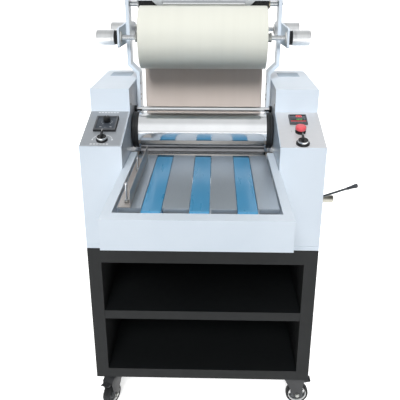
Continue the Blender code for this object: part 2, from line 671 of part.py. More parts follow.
def build_belts():
    """Three endless belts round the drums of a front and a rear shaft."""
    outer = PULLEY_RADIUS + BELT_THICKNESS
    inner = PULLEY_RADIUS + GAP / 2
    for tag, middle in zip(("left", "middle", "right"), belt_places()):
        loops = [arc((FRONT_PULLEY_Y, PULLEY_Z), radius, 270, 90, 18)
                 + arc((REAR_PULLEY_Y, PULLEY_Z), radius, 90, -90, 18) for radius in (outer, inner)]
        keep(plate_mesh("feed_belt_" + tag, loops, "YZ", middle - BELT_WIDTH / 2, middle + BELT_WIDTH / 2),
             BELT_BLUE)
    end = TABLE_OPEN_HALF - SHEET - 4 * GAP
    for name, place in (("front_belt_shaft", FRONT_PULLEY_Y), ("rear_belt_shaft", REAR_PULLEY_Y)):
        profile = [(0.0, mirrored(end, 1)), (0.0050, mirrored(end, 1))]
        for middle in reversed(belt_places()):
            high, low = middle + BELT_WIDTH / 2, middle - BELT_WIDTH / 2
            profile += [(0.0050, high), (PULLEY_RADIUS, high), (PULLEY_RADIUS, low), (0.0050, low)]
        profile += [(0.0050, mirrored(end, -1)), (0.0, mirrored(end, -1))]
        turned(name, profile, STEEL, (0.0, place, PULLEY_Z), "X", SMALL_STEPS)


GUIDE_X = -0.1533
GUIDE_FLANGE_X = -0.1828
GUIDE_HEIGHT = 0.0380
GUIDE_CLAMPS = {"guide_clamp_front": (-0.1650, -0.2050, 0.0480), "guide_clamp_rear": (-0.1680, 0.0160, 0.0375)}


def build_side_guide():
    """Stainless angle that the sheets run along, and its two thumb clamps."""
    foot = BED_TOP_Z + GAP
    run = [(GUIDE_X, foot + GUIDE_HEIGHT), (GUIDE_X, foot), (GUIDE_FLANGE_X, foot)]
    bent_sheet("side_guide", [run], "XZ", -0.2330, 0.1180, SHEET, STEEL)
    for name, (x, y, height) in GUIDE_CLAMPS.items():
        foot_z = foot + SHEET + GAP
        washer = [(0.0, 0.0040), (0.0030, 0.0040), (0.0060, 0.0036), (0.0060, 0.0), (0.0, 0.0)]
        clamp = turned(name, washer, ALUMINIUM, (x, y, foot_z), "Z", SMALL_STEPS)
        join(clamp, rod_mesh(name + "_post", (x, y, foot_z + 0.0020), (x, y, foot_z + height), 0.0024, 12,
                             0.0032))


# ---------------------------------------------------------------- rollers
def build_rollers():
    """Heated roller, pressure roller in its sliding blocks, guide bars and the nip's lip."""
    journal = 0.2240
    end = BAY_HALF - 0.0006
    half_profile = [(0.0, journal), (JOURNAL_RADIUS, journal), (JOURNAL_RADIUS, end), (0.0440, end),
                    (RING_RADIUS, end - 0.0020), (RING_RADIUS, HEATED_HALF), (HEATED_RADIUS, HEATED_HALF)]
    profile = [(r, MACHINE_MID + x) for r, x in half_profile]
    profile += [(r, MACHINE_MID - x) for r, x in reversed(half_profile)]
    turned("heated_roller", profile, CHROME, (0.0, HEATED_Y, HEATED_Z), "X", ROLLER_STEPS)
    half_profile = [(0.0, 0.2180), (PRESSURE_JOURNAL_RADIUS, 0.2180), (PRESSURE_JOURNAL_RADIUS, PRESSURE_HALF),
                    (PRESSURE_RADIUS, PRESSURE_HALF)]
    profile = [(r, MACHINE_MID + x) for r, x in half_profile]
    profile += [(r, MACHINE_MID - x) for r, x in reversed(half_profile)]
    turned("pressure_roller", profile, GREY_SILICONE, (0.0, HEATED_Y, PRESSURE_Z), "X", ROUND_STEPS)
    build_bearing_blocks()
    build_guide_bars()
    build_nip_guide()
    build_film_web()


def build_bearing_blocks():
    """Two blocks that slide in the side frames' windows and carry the pressure roller."""
    half = WINDOW_HALF - 0.0005
    for name, side in (("left_pressure_block", -1), ("right_pressure_block", 1)):
        low, high = span(FRAME_INNER - 0.0030, FRAME_OUTER + 0.0020, side)
        block = box(name, (low, HEATED_Y - half, PRESSURE_Z - half),
                    (high, HEATED_Y + half, PRESSURE_Z + BLOCK_RISE), STEEL, (0.0, HEATED_Y, PRESSURE_Z))
        cut(block, rod_mesh(name + "_bore", (low - 0.01, HEATED_Y, PRESSURE_Z), (high + 0.01, HEATED_Y, PRESSURE_Z),
                            PRESSURE_JOURNAL_RADIUS + GAP))


BAR_RADIUS = 0.0072
UPPER_BAR = (0.2720, 0.3245)
LOWER_BAR = (WEB_Y - BAR_RADIUS - GAP, 0.2390)


def build_guide_bars():
    """Fixed chrome bars: one above the roller between the walls, one low down between the uprights."""
    for name, end, place in (("upper_guide_bar", BAY_HALF - GAP, UPPER_BAR),
                             ("lower_guide_bar", UPRIGHT_LOW_INNER - GAP, LOWER_BAR)):
        high, low = mirrored(end, 1), mirrored(end, -1)
        profile = [(0.0, high), (BAR_RADIUS, high), (BAR_RADIUS, low), (0.0, low)]
        turned(name, profile, CHROME, (0.0, *place), "X", SMALL_STEPS)


LIP_HALF = 0.1790
LIP_TOP_Z = 0.2210


def build_nip_guide():
    """Polished lip that leads the sheets into the nip, with a dark block on each of its ends."""
    front = TABLE_REAR_Y + 0.0006
    curl = arc((front + 0.0030, LIP_TOP_Z - 0.0030), 0.0030, 180, 90, 4)
    run = [(front, LIP_TOP_Z - 0.0300), *curl, (0.1880, LIP_TOP_Z)]
    weld = 0.0005
    lip = bent_sheet("nip_guide", [run], "YZ", mirrored(LIP_HALF, -1), mirrored(LIP_HALF, 1), 0.0012, STEEL)
    for tag, side in (("left", -1), ("right", 1)):
        low, high = span(LIP_HALF - weld, BAY_HALF - GAP, side)
        join(lip, box_mesh("nip_block_" + tag, (low, front, LIP_TOP_Z - 0.0320),
                           (high, 0.1850, LIP_TOP_Z + 0.0015)))


def build_film_web():
    """The film between the supply roll, the lower guide bar and the nip."""
    turn = arc(LOWER_BAR, BAR_RADIUS + GAP, -90, 0, 6)
    run = [(HEATED_Y + 0.0120, PRESSURE_Z + PRESSURE_RADIUS + 0.0012), *turn, (WEB_Y, SHAFT_Z)]
    bent_sheet("film_web", [run], "YZ", mirrored(FILM_HALF, -1), mirrored(FILM_HALF, 1), WEB_THICKNESS,
               FILM_BEIGE)


# ---------------------------------------------------------------- uprights and winding shafts
def build_uprights():
    """Two joggled flat-bar uprights and the shaft brackets bolted outside them."""
    for name, side in (("left", -1), ("right", 1)):
        leg, head = UPRIGHT_LOW_INNER, UPRIGHT_HIGH_INNER
        inner = [(leg, BASE_HEIGHT + 2 * GAP), (leg, JOGGLE_LOW_Z), (head, JOGGLE_HIGH_Z), (head, UPRIGHT_TOP_Z)]
        slant = math.hypot(head - leg, JOGGLE_HIGH_Z - JOGGLE_LOW_Z)
        lift = UPRIGHT_THICKNESS * (slant - (JOGGLE_HIGH_Z - JOGGLE_LOW_Z)) / (head - leg)
        outer = [(x + UPRIGHT_THICKNESS, z - (lift if 0 < index < 3 else 0.0))
                 for index, (x, z) in enumerate(inner)]
        outline = [(mirrored(x, side), z) for x, z in inner + outer[::-1]]
        if side < 0:
            outline.reverse()
        keep(plate_curve(name + "_upright", [outline], "XZ", UPRIGHT_FRONT_Y,
                         UPRIGHT_FRONT_Y + UPRIGHT_DEPTH), PALE_BLUE)
        build_bracket(name, side)


BRACKET_FRONT_INNER = 0.2333     # where it carries the supply shaft
BRACKET_REAR_INNER = UPRIGHT_HIGH_INNER + UPRIGHT_THICKNESS + GAP
BRACKET_SHEET = 0.0058
BRACKET_BEND_FRONT_Y = 0.2850
BRACKET_BEND_REAR_Y = 0.3080


def build_bracket(name, side):
    """A joggled plate that carries both winding shafts, bolted to the upright's outer face."""
    nose = [(0.2480, 0.5516), (0.2480, 0.5060), (0.2520, 0.5020), (BRACKET_BEND_FRONT_Y, 0.5020)]
    tail = [(0.3110, 0.5080), (0.4700, 0.5060)] + arc((REWIND_Y, SHAFT_Z), 0.0220, -90, 90, 8)
    top = [(0.4700, 0.5560), (0.3110, 0.5640), (BRACKET_BEND_FRONT_Y, 0.5556), (0.2520, 0.5556)]
    low, high = span(BRACKET_FRONT_INNER, BRACKET_FRONT_INNER + BRACKET_SHEET, side)
    holes = [round_hole(y, SHAFT_Z, SHAFT_RADIUS + 2 * GAP) for y in (SUPPLY_Y, REWIND_Y)]
    bracket = plate_mesh(name + "_shaft_bracket", [nose + tail + top, *holes], "YZ", low, high)
    shape = bmesh.new()
    shape.from_mesh(bracket.data)
    # the plate's own axes are the machine's Y, Z and X
    for y in (BRACKET_BEND_FRONT_Y, BRACKET_BEND_REAR_Y):
        everything = list(shape.verts) + list(shape.edges) + list(shape.faces)
        bmesh.ops.bisect_plane(shape, geom=everything, plane_co=(y, 0.0, 0.0), plane_no=(1.0, 0.0, 0.0))
    for vert in shape.verts:
        if vert.co.x > BRACKET_BEND_REAR_Y - GAP:
            vert.co.z -= side * (BRACKET_FRONT_INNER - BRACKET_REAR_INNER)
    shape.to_mesh(bracket.data)
    shape.free()
    keep(bracket, PALE_BLUE)


def winding_shaft_profile(chucks):
    """A winding shaft with a collar and, where it carries a core, a chuck at each end."""
    collar_out, collar_in = 0.1920, 0.1862
    half = [(0.0, SHAFT_HALF), (SHAFT_RADIUS, SHAFT_HALF), (SHAFT_RADIUS, collar_out),
            (0.0150, collar_out), (0.0150, collar_in)]
    if chucks:
        half += [(0.0170, FILM_HALF + 0.0020), (CORE_RADIUS - 0.0012, FILM_HALF - 0.0040),
                 (CORE_RADIUS - 0.0012, 0.1500)]
    half += [(SHAFT_RADIUS, half[-1][1])]
    return ([(r, MACHINE_MID + x) for r, x in half] + [(r, MACHINE_MID - x) for r, x in reversed(half)])


def build_knob(name, side, y):
    """Aluminium tension knob with a black ring on its inner end."""
    inner = SHAFT_HALF + GAP
    shoulder = inner + KNOB_RING_LENGTH
    end = shoulder + KNOB_LENGTH
    profile = [(0.0, end), (KNOB_RADIUS - 0.0012, end), (KNOB_RADIUS, end - 0.0012), (KNOB_RADIUS, shoulder),
               (KNOB_RING_RADIUS, shoulder - 0.0002), (KNOB_RING_RADIUS, inner), (0.0, inner)]
    if side < 0:
        profile = [(r, -x) for r, x in reversed(profile)]
    turned(name, [(r, MACHINE_MID + x) for r, x in profile], ALUMINIUM, (0.0, y, SHAFT_Z), "X", ROUND_STEPS)


def build_winding():
    """Supply shaft with its film roll, rewind shaft, and a tension knob on each of their ends."""
    turned("supply_shaft", winding_shaft_profile(True), STEEL, (0.0, SUPPLY_Y, SHAFT_Z), "X", SMALL_STEPS)
    turned("rewind_shaft", winding_shaft_profile(False), STEEL, (0.0, REWIND_Y, SHAFT_Z), "X", SMALL_STEPS)
    high, low = mirrored(FILM_HALF, 1), mirrored(FILM_HALF, -1)
    ring = [(FILM_RADIUS, high), (FILM_RADIUS, low), (CORE_RADIUS, low), (CORE_RADIUS, high)]
    turned("film_roll", ring, FILM_CREAM, (0.0, SUPPLY_Y, SHAFT_Z), "X", ROLLER_STEPS)
    for shaft, y in (("supply", SUPPLY_Y), ("rewind", REWIND_Y)):
        for tag, side in (("left", -1), ("right", 1)):
            build_knob(f"{shaft}_knob_{tag}", side, y)


PERFORATOR_Y = 0.3330
PERFORATOR_Z = 0.6150
CROSSBAR_Y = 0.3116
CROSSBAR_LOW_Z = 0.6240


def build_top():
    """Flat cross bar with its two hanging arms, and the perforating shaft with its rubber wheels."""
    inner = UPRIGHT_HIGH_INNER - GAP
    bar = box("top_crossbar", (mirrored(inner, -1), CROSSBAR_Y, CROSSBAR_LOW_Z),
              (mirrored(inner, 1), CROSSBAR_Y + 0.0044, CROSSBAR_LOW_Z + 0.0240), STEEL)
    for tag, side in (("left", -1), ("right", 1)):
        arm = [(0.1475, 0.6440), (0.1475, 0.6260), (0.1285, 0.6090), (0.1175, 0.6090), (0.1175, 0.6440)]
        outline = [(mirrored(x, side), z) for x, z in arm]
        join(bar, plate_mesh("perforator_arm_" + tag, [outline], "XZ", CROSSBAR_Y - 0.0036, CROSSBAR_Y + 0.0004))
    half = [(0.0, inner), (0.0070, inner), (0.0070, 0.1890), (0.0110, 0.1890), (0.0110, 0.1850),
            (0.0165, 0.1850), (0.0165, 0.1260), (0.0120, 0.1260)]
    profile = [(r, MACHINE_MID + x) for r, x in half] + [(r, MACHINE_MID - x) for r, x in reversed(half)]
    turned("perforator_shaft", profile, BLACK_RUBBER, (0.0, PERFORATOR_Y, PERFORATOR_Z), "X", SMALL_STEPS)


# ---------------------------------------------------------------- pressure lever
def build_lever():
    """Pressure lever: cross shaft and hub through the right wall, splayed rod and tapered grip."""
    outside = BODY_HALF_WIDTH + GAP
    cam_x = mirrored(FRAME_OUTER, 1) + 0.0010
    hub_end = 0.3865
    profile = [(0.0, hub_end), (0.0095, hub_end), (0.0107, hub_end - 0.0012), (0.0107, outside),
               (0.0060, outside), (0.0060, cam_x + 0.0120), (0.0140, cam_x + 0.0120), (0.0140, cam_x),
               (0.0, cam_x)]
    lever = turned("pressure_lever", profile, STEEL, (0.0, LEVER_Y, LEVER_Z), "X", SMALL_STEPS)
    start = Vector((0.3350, LEVER_Y, LEVER_Z))
    grip_start = start.lerp(LEVER_GRIP_END, 0.7600)
    join(lever, rod_mesh("lever_rod", start, grip_start, 0.0032, 12),
         rod_mesh("lever_grip", grip_start - (LEVER_GRIP_END - start) * 0.01, LEVER_GRIP_END, 0.0040, 16,
                  0.0068))


build_cabinet()
build_casters()
build_body()
build_controls()
build_table()
build_rollers()
build_uprights()
build_winding()
build_top()
build_lever()
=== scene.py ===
"""Looks of the roll laminator: finishes, detailed pieces, floor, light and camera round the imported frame.

Lengths are in metres. The machine's own frame has X = 0 in the middle of the body, Y = 0 on its front
face (+Y goes away from the operator) and Z = 0 on the underside of its base plate.
"""
import json
import math

import bmesh
import bpy
from mathutils import Matrix, Vector


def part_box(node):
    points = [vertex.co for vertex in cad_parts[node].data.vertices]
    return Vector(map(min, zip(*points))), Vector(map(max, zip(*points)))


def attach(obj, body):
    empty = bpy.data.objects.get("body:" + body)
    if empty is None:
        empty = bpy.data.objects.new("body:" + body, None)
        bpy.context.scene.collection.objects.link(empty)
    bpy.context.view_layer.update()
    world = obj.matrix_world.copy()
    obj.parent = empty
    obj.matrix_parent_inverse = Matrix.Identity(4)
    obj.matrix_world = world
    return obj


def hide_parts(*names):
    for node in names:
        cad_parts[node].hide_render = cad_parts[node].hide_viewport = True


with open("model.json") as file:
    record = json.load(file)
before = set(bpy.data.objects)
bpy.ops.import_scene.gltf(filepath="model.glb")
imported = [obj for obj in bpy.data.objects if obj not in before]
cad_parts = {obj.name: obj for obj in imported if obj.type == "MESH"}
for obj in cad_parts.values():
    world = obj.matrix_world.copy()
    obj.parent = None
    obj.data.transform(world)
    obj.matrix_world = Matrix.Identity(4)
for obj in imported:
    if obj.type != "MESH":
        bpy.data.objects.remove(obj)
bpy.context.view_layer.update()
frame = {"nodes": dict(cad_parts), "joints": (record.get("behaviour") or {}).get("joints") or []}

NODES = frame["nodes"]
JOINTS = {joint["name"]: joint for joint in frame["joints"]}
base_low, base_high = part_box("base_plate")
ORIGIN = Vector(((base_low.x + base_high.x) / 2, base_low.y, base_low.z))
MACHINE = Matrix.Translation(ORIGIN)


def box_of(node):
    """A node's lowest and highest corner in the machine's frame."""
    low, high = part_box(node)
    return low - ORIGIN, high - ORIGIN


def middle_of(node):
    low, high = box_of(node)
    return (low + high) / 2


def place_of(joint):
    """The point on a joint's axis, in the machine's frame."""
    return Vector(JOINTS[joint]["pos_m"]) - ORIGIN


MID = middle_of("heated_roller").x
SLOPE = math.radians(15.85)                       # of the two control panels
PANEL_FOOT = Vector((0.0, 0.0, 0.2894))           # front edge of the panels' upper face
PANEL = MACHINE @ Matrix.Translation(PANEL_FOOT) @ Matrix.Rotation(SLOPE, 4, "X")
AXIS_TURN = {"X": Matrix.Rotation(math.pi / 2, 4, "Y"), "Y": Matrix.Rotation(-math.pi / 2, 4, "X"),
             "Z": Matrix.Identity(4)}
PLANE_TURN = {"XY": Matrix.Identity(4), "XZ": Matrix.Rotation(math.pi / 2, 4, "X"),
              "YZ": Matrix(((0, 0, 1, 0), (1, 0, 0, 0), (0, 1, 0, 0), (0, 0, 0, 1)))}


# ---------------------------------------------------------------- finishes
def tone(code):
    """Linear colour of a hexadecimal sRGB code."""
    parts = [int(code[start:start + 2], 16) / 255 for start in (0, 2, 4)]
    return [part / 12.92 if part <= 0.04045 else ((part + 0.055) / 1.055) ** 2.4 for part in parts]


class Finish:
    """A Principled material whose colour, roughness and relief are driven by noise in object space."""

    def __init__(self, name, code, roughness, metallic=0.0, **sockets):
        self.material = bpy.data.materials.new(name)
        self.material.use_nodes = True
        self.tree = self.material.node_tree
        self.shader = self.tree.nodes["Principled BSDF"]
        self.colour = (*tone(code), 1.0)
        self.shader.inputs["Base Color"].default_value = self.colour
        self.shader.inputs["Roughness"].default_value = roughness
        self.shader.inputs["Metallic"].default_value = metallic
        for socket, value in sockets.items():
            self.shader.inputs[socket.replace("_", " ")].default_value = value
        self.place = self.tree.nodes.new("ShaderNodeTexCoord").outputs["Object"]

    def node(self, kind, **values):
        made = self.tree.nodes.new("ShaderNode" + kind)
        for name, value in values.items():
            if isinstance(value, bpy.types.NodeSocket):
                self.tree.links.new(value, made.inputs[name.replace("_", " ")])
            else:
                made.inputs[name.replace("_", " ")].default_value = value
        return made

    def grain(self, scale, stretch=(1.0, 1.0, 1.0), detail=2.0, turn=(0.0, 0.0, 0.0)):
        """Noise whose features are about 1/scale metres long, drawn out by the stretch of each axis."""
        mapping = self.node("Mapping", Vector=self.place, Rotation=turn, Scale=[scale * s for s in stretch])
        return self.node("TexNoise", Vector=mapping.outputs["Vector"], Scale=1.0,
                         Detail=detail).outputs["Fac"]

    def rings(self, axis, pitch, centre=(0.0, 0.0, 0.0), distortion=0.0):
        """Bands that follow each other every pitch metres along X, Y or Z, or round one of them."""
        shift = self.node("Mapping", Vector=self.place, Location=[-value for value in centre])
        wave = self.node("TexWave", Vector=shift.outputs["Vector"], Scale=math.tau / 20 / pitch,
                         Distortion=distortion)
        wave.wave_type = "RINGS" if axis.startswith("round") else "BANDS"
        direction = axis[-1]
        if wave.wave_type == "RINGS":
            wave.rings_direction = direction
        else:
            wave.bands_direction = direction
        return wave.outputs["Fac"]

    def spread(self, source, low, high, start=0.35, end=0.65):
        return self.node("MapRange", Value=source, **{"From_Min": start, "From_Max": end,
                                                      "To_Min": low, "To_Max": high}).outputs["Result"]

    def tint(self, source, code, start=0.35, end=0.65, most=1.0):
        """Mixes another colour in where the source is high."""
        mix = self.tree.nodes.new("ShaderNodeMix")
        mix.data_type = "RGBA"
        self.tree.links.new(self.spread(source, 0.0, most, start, end), mix.inputs["Factor"])
        base = self.shader.inputs["Base Color"]
        if base.is_linked:
            self.tree.links.new(base.links[0].from_socket, mix.inputs["A"])
        else:
            mix.inputs["A"].default_value = self.colour
        mix.inputs["B"].default_value = (*tone(code), 1.0)
        self.tree.links.new(mix.outputs["Result"], base)
        return self

    def matt(self, source, low, high):
        self.tree.links.new(self.spread(source, low, high), self.shader.inputs["Roughness"])
        return self

    def relief(self, source, height):
        """Raises the surface by height metres where the source is high."""
        bump = self.node("Bump", Height=source, Distance=height, Strength=1.0)
        normal = self.shader.inputs["Normal"]
        if normal.is_linked:
            self.tree.links.new(normal.links[0].from_socket, bump.inputs["Normal"])
        self.tree.links.new(bump.outputs["Normal"], normal)
        return self


def powder_coat(name, code, shade, pitch, height, roughness, coat=0.15):
    """Baked powder paint: orange peel, slow drifts of tone and gloss."""
    made = Finish(name, code, roughness, Coat_Weight=coat, Coat_Roughness=0.25)
    made.tint(made.grain(6.0, detail=4.0), shade, 0.42, 0.72, 0.5)
    made.matt(made.grain(40.0, detail=4.0), roughness - 0.015, roughness + 0.025)
    made.relief(made.grain(1 / pitch, detail=1.0), height)
    return made.material


def brushed(name, code, shade, roughness, along, metallic=1.0, pitch=0.0005):
    """Metal with fine scratches that run along one axis, and a sheet's slow unevenness."""
    made = Finish(name, code, roughness, metallic)
    stretch = [0.02 if axis == along else 1.0 for axis in "XYZ"]
    scratches = made.grain(1 / pitch, stretch, 3.0)
    made.tint(scratches, shade, 0.35, 0.75, 0.7)
    made.matt(made.grain(0.25 / pitch, stretch, 4.0), roughness - 0.015, roughness + 0.02)
    made.relief(scratches, 0.0000004)
    return made.material


def turned_metal(name, code, shade, roughness, pitch=0.0007):
    """Metal with the fine grooves of a lathe tool, which ran along X, and a few smudges."""
    made = Finish(name, code, roughness, 1.0)
    grooves = made.rings("X", pitch, distortion=0.3)
    made.relief(grooves, 0.0000001)
    made.tint(made.grain(300.0, (1.0, 0.1, 0.1)), shade, 0.4, 0.8, 0.4)
    made.matt(made.grain(45.0, detail=4.0), roughness - 0.012, roughness + 0.018)
    return made.material


def moulded(name, code, shade, roughness, pitch=0.0005, height=0.00003):
    """Plastic or rubber with a spark-eroded mould texture."""
    made = Finish(name, code, roughness)
    made.tint(made.grain(60.0, detail=4.0), shade, 0.4, 0.75, 0.6)
    made.matt(made.grain(120.0, detail=4.0), roughness - 0.07, roughness + 0.09)
    made.relief(made.grain(1 / pitch, detail=1.0), height)
    return made.material


def belt_finish():
    """Glossy blue PVC over a woven ply, whose weave just shows through."""
    made = Finish("blue_belt_pvc", "3d9acb", 0.28, Specular_IOR_Level=0.75, Coat_Weight=0.3,
                  Coat_Roughness=0.2)
    weave = made.node("TexBrick", Vector=made.node("Mapping", Vector=made.place,
                                                   Scale=(700.0, 700.0, 700.0)).outputs["Vector"])
    made.tint(weave.outputs["Fac"], "3a8fbd", 0.0, 1.0, 0.4)
    made.tint(made.grain(25.0, (1.0, 0.15, 1.0), 4.0), "3893c3", 0.4, 0.7)
    made.matt(made.grain(60.0, (1.0, 0.1, 1.0), 4.0), 0.27, 0.29)
    return made.material


def film_finish(name, code, shade, roughness, **sockets):
    """Wound or stretched laminating film: faint bands round the roll and soft mottling."""
    made = Finish(name, code, roughness, **sockets)
    made.tint(made.grain(40.0, (1.0, 0.05, 0.05), 3.0), shade, 0.4, 0.75, 0.5)
    made.matt(made.grain(30.0, (1.0, 0.2, 0.2), 3.0), roughness - 0.02, roughness + 0.02)
    made.relief(made.grain(90.0, (1.0, 0.05, 0.05)), 0.000003)
    return made.material


def film_end_finish():
    """The roll's flat ends, where hundreds of film edges show as rings round the core."""
    made = Finish("film_roll_ends", "e6e7dc", 0.45)
    rings = made.rings("round X", 0.0011, middle_of("film_roll") + ORIGIN, 0.4)
    made.tint(rings, "b9bcb0", 0.3, 0.9, 0.8)
    made.relief(rings, 0.00008)
    return made.material


def chrome_finish(name, code, roughness):
    """Hard chrome: a mirror with grinding lines too fine to see singly, and faint handling marks."""
    made = Finish(name, code, roughness, 1.0)
    made.relief(made.grain(2500.0, (1.0, 0.01, 0.01), 1.0), 0.0000001)
    made.matt(made.grain(28.0, detail=5.0), roughness * 0.95, roughness * 1.1)
    made.tint(made.grain(12.0, detail=3.0), "d6d9dd", 0.4, 0.8, 0.5)
    return made.material


def glow(name, code, strength):
    made = Finish(name, code, 0.4)
    made.shader.inputs["Emission Color"].default_value = made.colour
    made.shader.inputs["Emission Strength"].default_value = strength
    return made.material


def print_finish(name, code):
    made = Finish(name, code, 0.5)
    made.tint(made.grain(1500.0, detail=1.0), "b9bfc6", 0.55, 0.8, 0.5)
    made.relief(made.grain(1500.0), 0.00001)
    return made.material


BLUE_PAINT = powder_coat("pale_blue_powder_coat", "e0ebf6", "d2dfeb", 0.0011, 0.00003, 0.36)
BLACK_PAINT = powder_coat("black_textured_coat", "151718", "101213", 0.0007, 0.00006, 0.65, 0.0)
# The top louvres are coloured a tone darker than the housing paint around them.
VENT_DARKER_TONE = powder_coat("vent_darker_coat", "b3c2cf", "a6b6c4", 0.0011, 0.00003, 0.36)
CASTER_PAINT = powder_coat("black_zinc", "38393b", "2b2c2e", 0.0009, 0.00004, 0.42)
PANEL_DARK = brushed("left_panel_foil", "a4a9af", "989da3", 0.38, "X", 0.25)
PANEL_PALE = brushed("right_panel_foil", "dddfe2", "d2d4d8", 0.42, "X", 0.25)
BED_STEEL = brushed("bed_stainless", "c9d4df", "bfcad5", 0.36, "Y", 0.85)
GUIDE_STEEL = brushed("guide_stainless", "c4bdb8", "aca6a1", 0.34, "Y", 0.45)
BAR_STEEL = brushed("bar_steel", "c6cacd", "a4a9ad", 0.30, "X")
LIP_STEEL = brushed("lip_stainless", "cfccc8", "b7b4b0", 0.24, "X")
BLOCK_ZINC = brushed("block_zinc", "9a9590", "87827d", 0.4, "Y", 0.6)
SHAFT_STEEL = turned_metal("shaft_steel", "c9ccce", "a2a6a9", 0.25)
KNOB_METAL = turned_metal("knob_aluminium", "eceeef", "d8dbdd", 0.3)
BOLT_ZINC = turned_metal("zinc_plate", "b6b8b4", "8d8f8b", 0.35, 0.0004)
CHROME = chrome_finish("hard_chrome", "eff1f3", 0.12)
BAR_CHROME = chrome_finish("bar_chrome", "e4e6e8", 0.12)
ROD_GREY = brushed("lever_rod_steel", "8f9397", "6f7478", 0.33, "Z")
HUB_SATIN = turned_metal("satin_hub", "c4c2b6", "a19f94", 0.42)
DARK_METAL = brushed("blued_steel", "4c4e50", "37393b", 0.42, "X")
BLACK_PLASTIC = moulded("black_plastic", "1d1e20", "121314", 0.42)
DIAL_PLASTIC = moulded("dial_face", "454b53", "383e46", 0.48)
BEZEL_PLASTIC = moulded("grey_bezel", "5a5c60", "4a4c50", 0.45)
GRIP_PLASTIC = moulded("grip_plastic", "4c5055", "3a3e43", 0.38)
RUBBER = moulded("black_rubber", "222324", "171818", 0.62, 0.0012, 0.00005)
RING_RUBBER = moulded("ring_rubber", "26282a", "18191a", 0.36, 0.0009, 0.00002)
WHEEL_GREY = moulded("wheel_nylon", "55585a", "454849", 0.45)
SILICONE = moulded("grey_silicone", "8c8d90", "7b7c7f", 0.58)
NYLON = moulded("white_nylon", "e6e7e6", "d3d4d3", 0.42)
BEIGE_NYLON = moulded("beige_nylon", "c6bda6", "ada58f", 0.45)
CARD = moulded("core_card", "a58e70", "8d775b", 0.85, 0.0015, 0.00006)
RED_PLASTIC = Finish("red_button", "f0606a", 0.3, Coat_Weight=0.5, Coat_Roughness=0.12)
RED_PLASTIC.tint(RED_PLASTIC.grain(90.0, detail=3.0), "e9525d", 0.4, 0.7)
RED_PLASTIC.relief(RED_PLASTIC.grain(700.0), 0.00001)
RED_PLASTIC = RED_PLASTIC.material
BELT = belt_finish()
FILM = film_finish("film_on_roll", "e9eadf", "e3e4d9", 0.34)
WEB = film_finish("film_web", "d6cbc4", "cfc4bc", 0.4)
FILM_ENDS = film_end_finish()
WHITE_PRINT = print_finish("white_print", "f2f4f6")
GREY_PRINT = print_finish("grey_print", "8b9096")
LINE_PRINT = print_finish("panel_edge", "c9cfd6")
RED_STRIP = print_finish("red_strip", "d8363c")
SCREEN = Finish("display_window", "141416", 0.12, Coat_Weight=0.8, Coat_Roughness=0.05)
SCREEN.matt(SCREEN.grain(80.0, detail=4.0), 0.08, 0.2)
SCREEN = SCREEN.material
RED_GLOW = glow("red_digits", "e8504e", 0.9)
GREEN_GLOW = glow("green_digits", "5aa552", 0.7)


# ---------------------------------------------------------------- shapes
def aim(place, direction):
    """Carries the origin to a place and +Z to a direction."""
    return Matrix.Translation(place) @ Vector(direction).to_track_quat("Z", "Y").to_matrix().to_4x4()


def arc(centre, radius, start, end, steps):
    """Points along a circular arc, angles in degrees."""
    angles = [math.radians(start + (end - start) * step / steps) for step in range(steps + 1)]
    return [(centre[0] + radius * math.cos(a), centre[1] + radius * math.sin(a)) for a in angles]


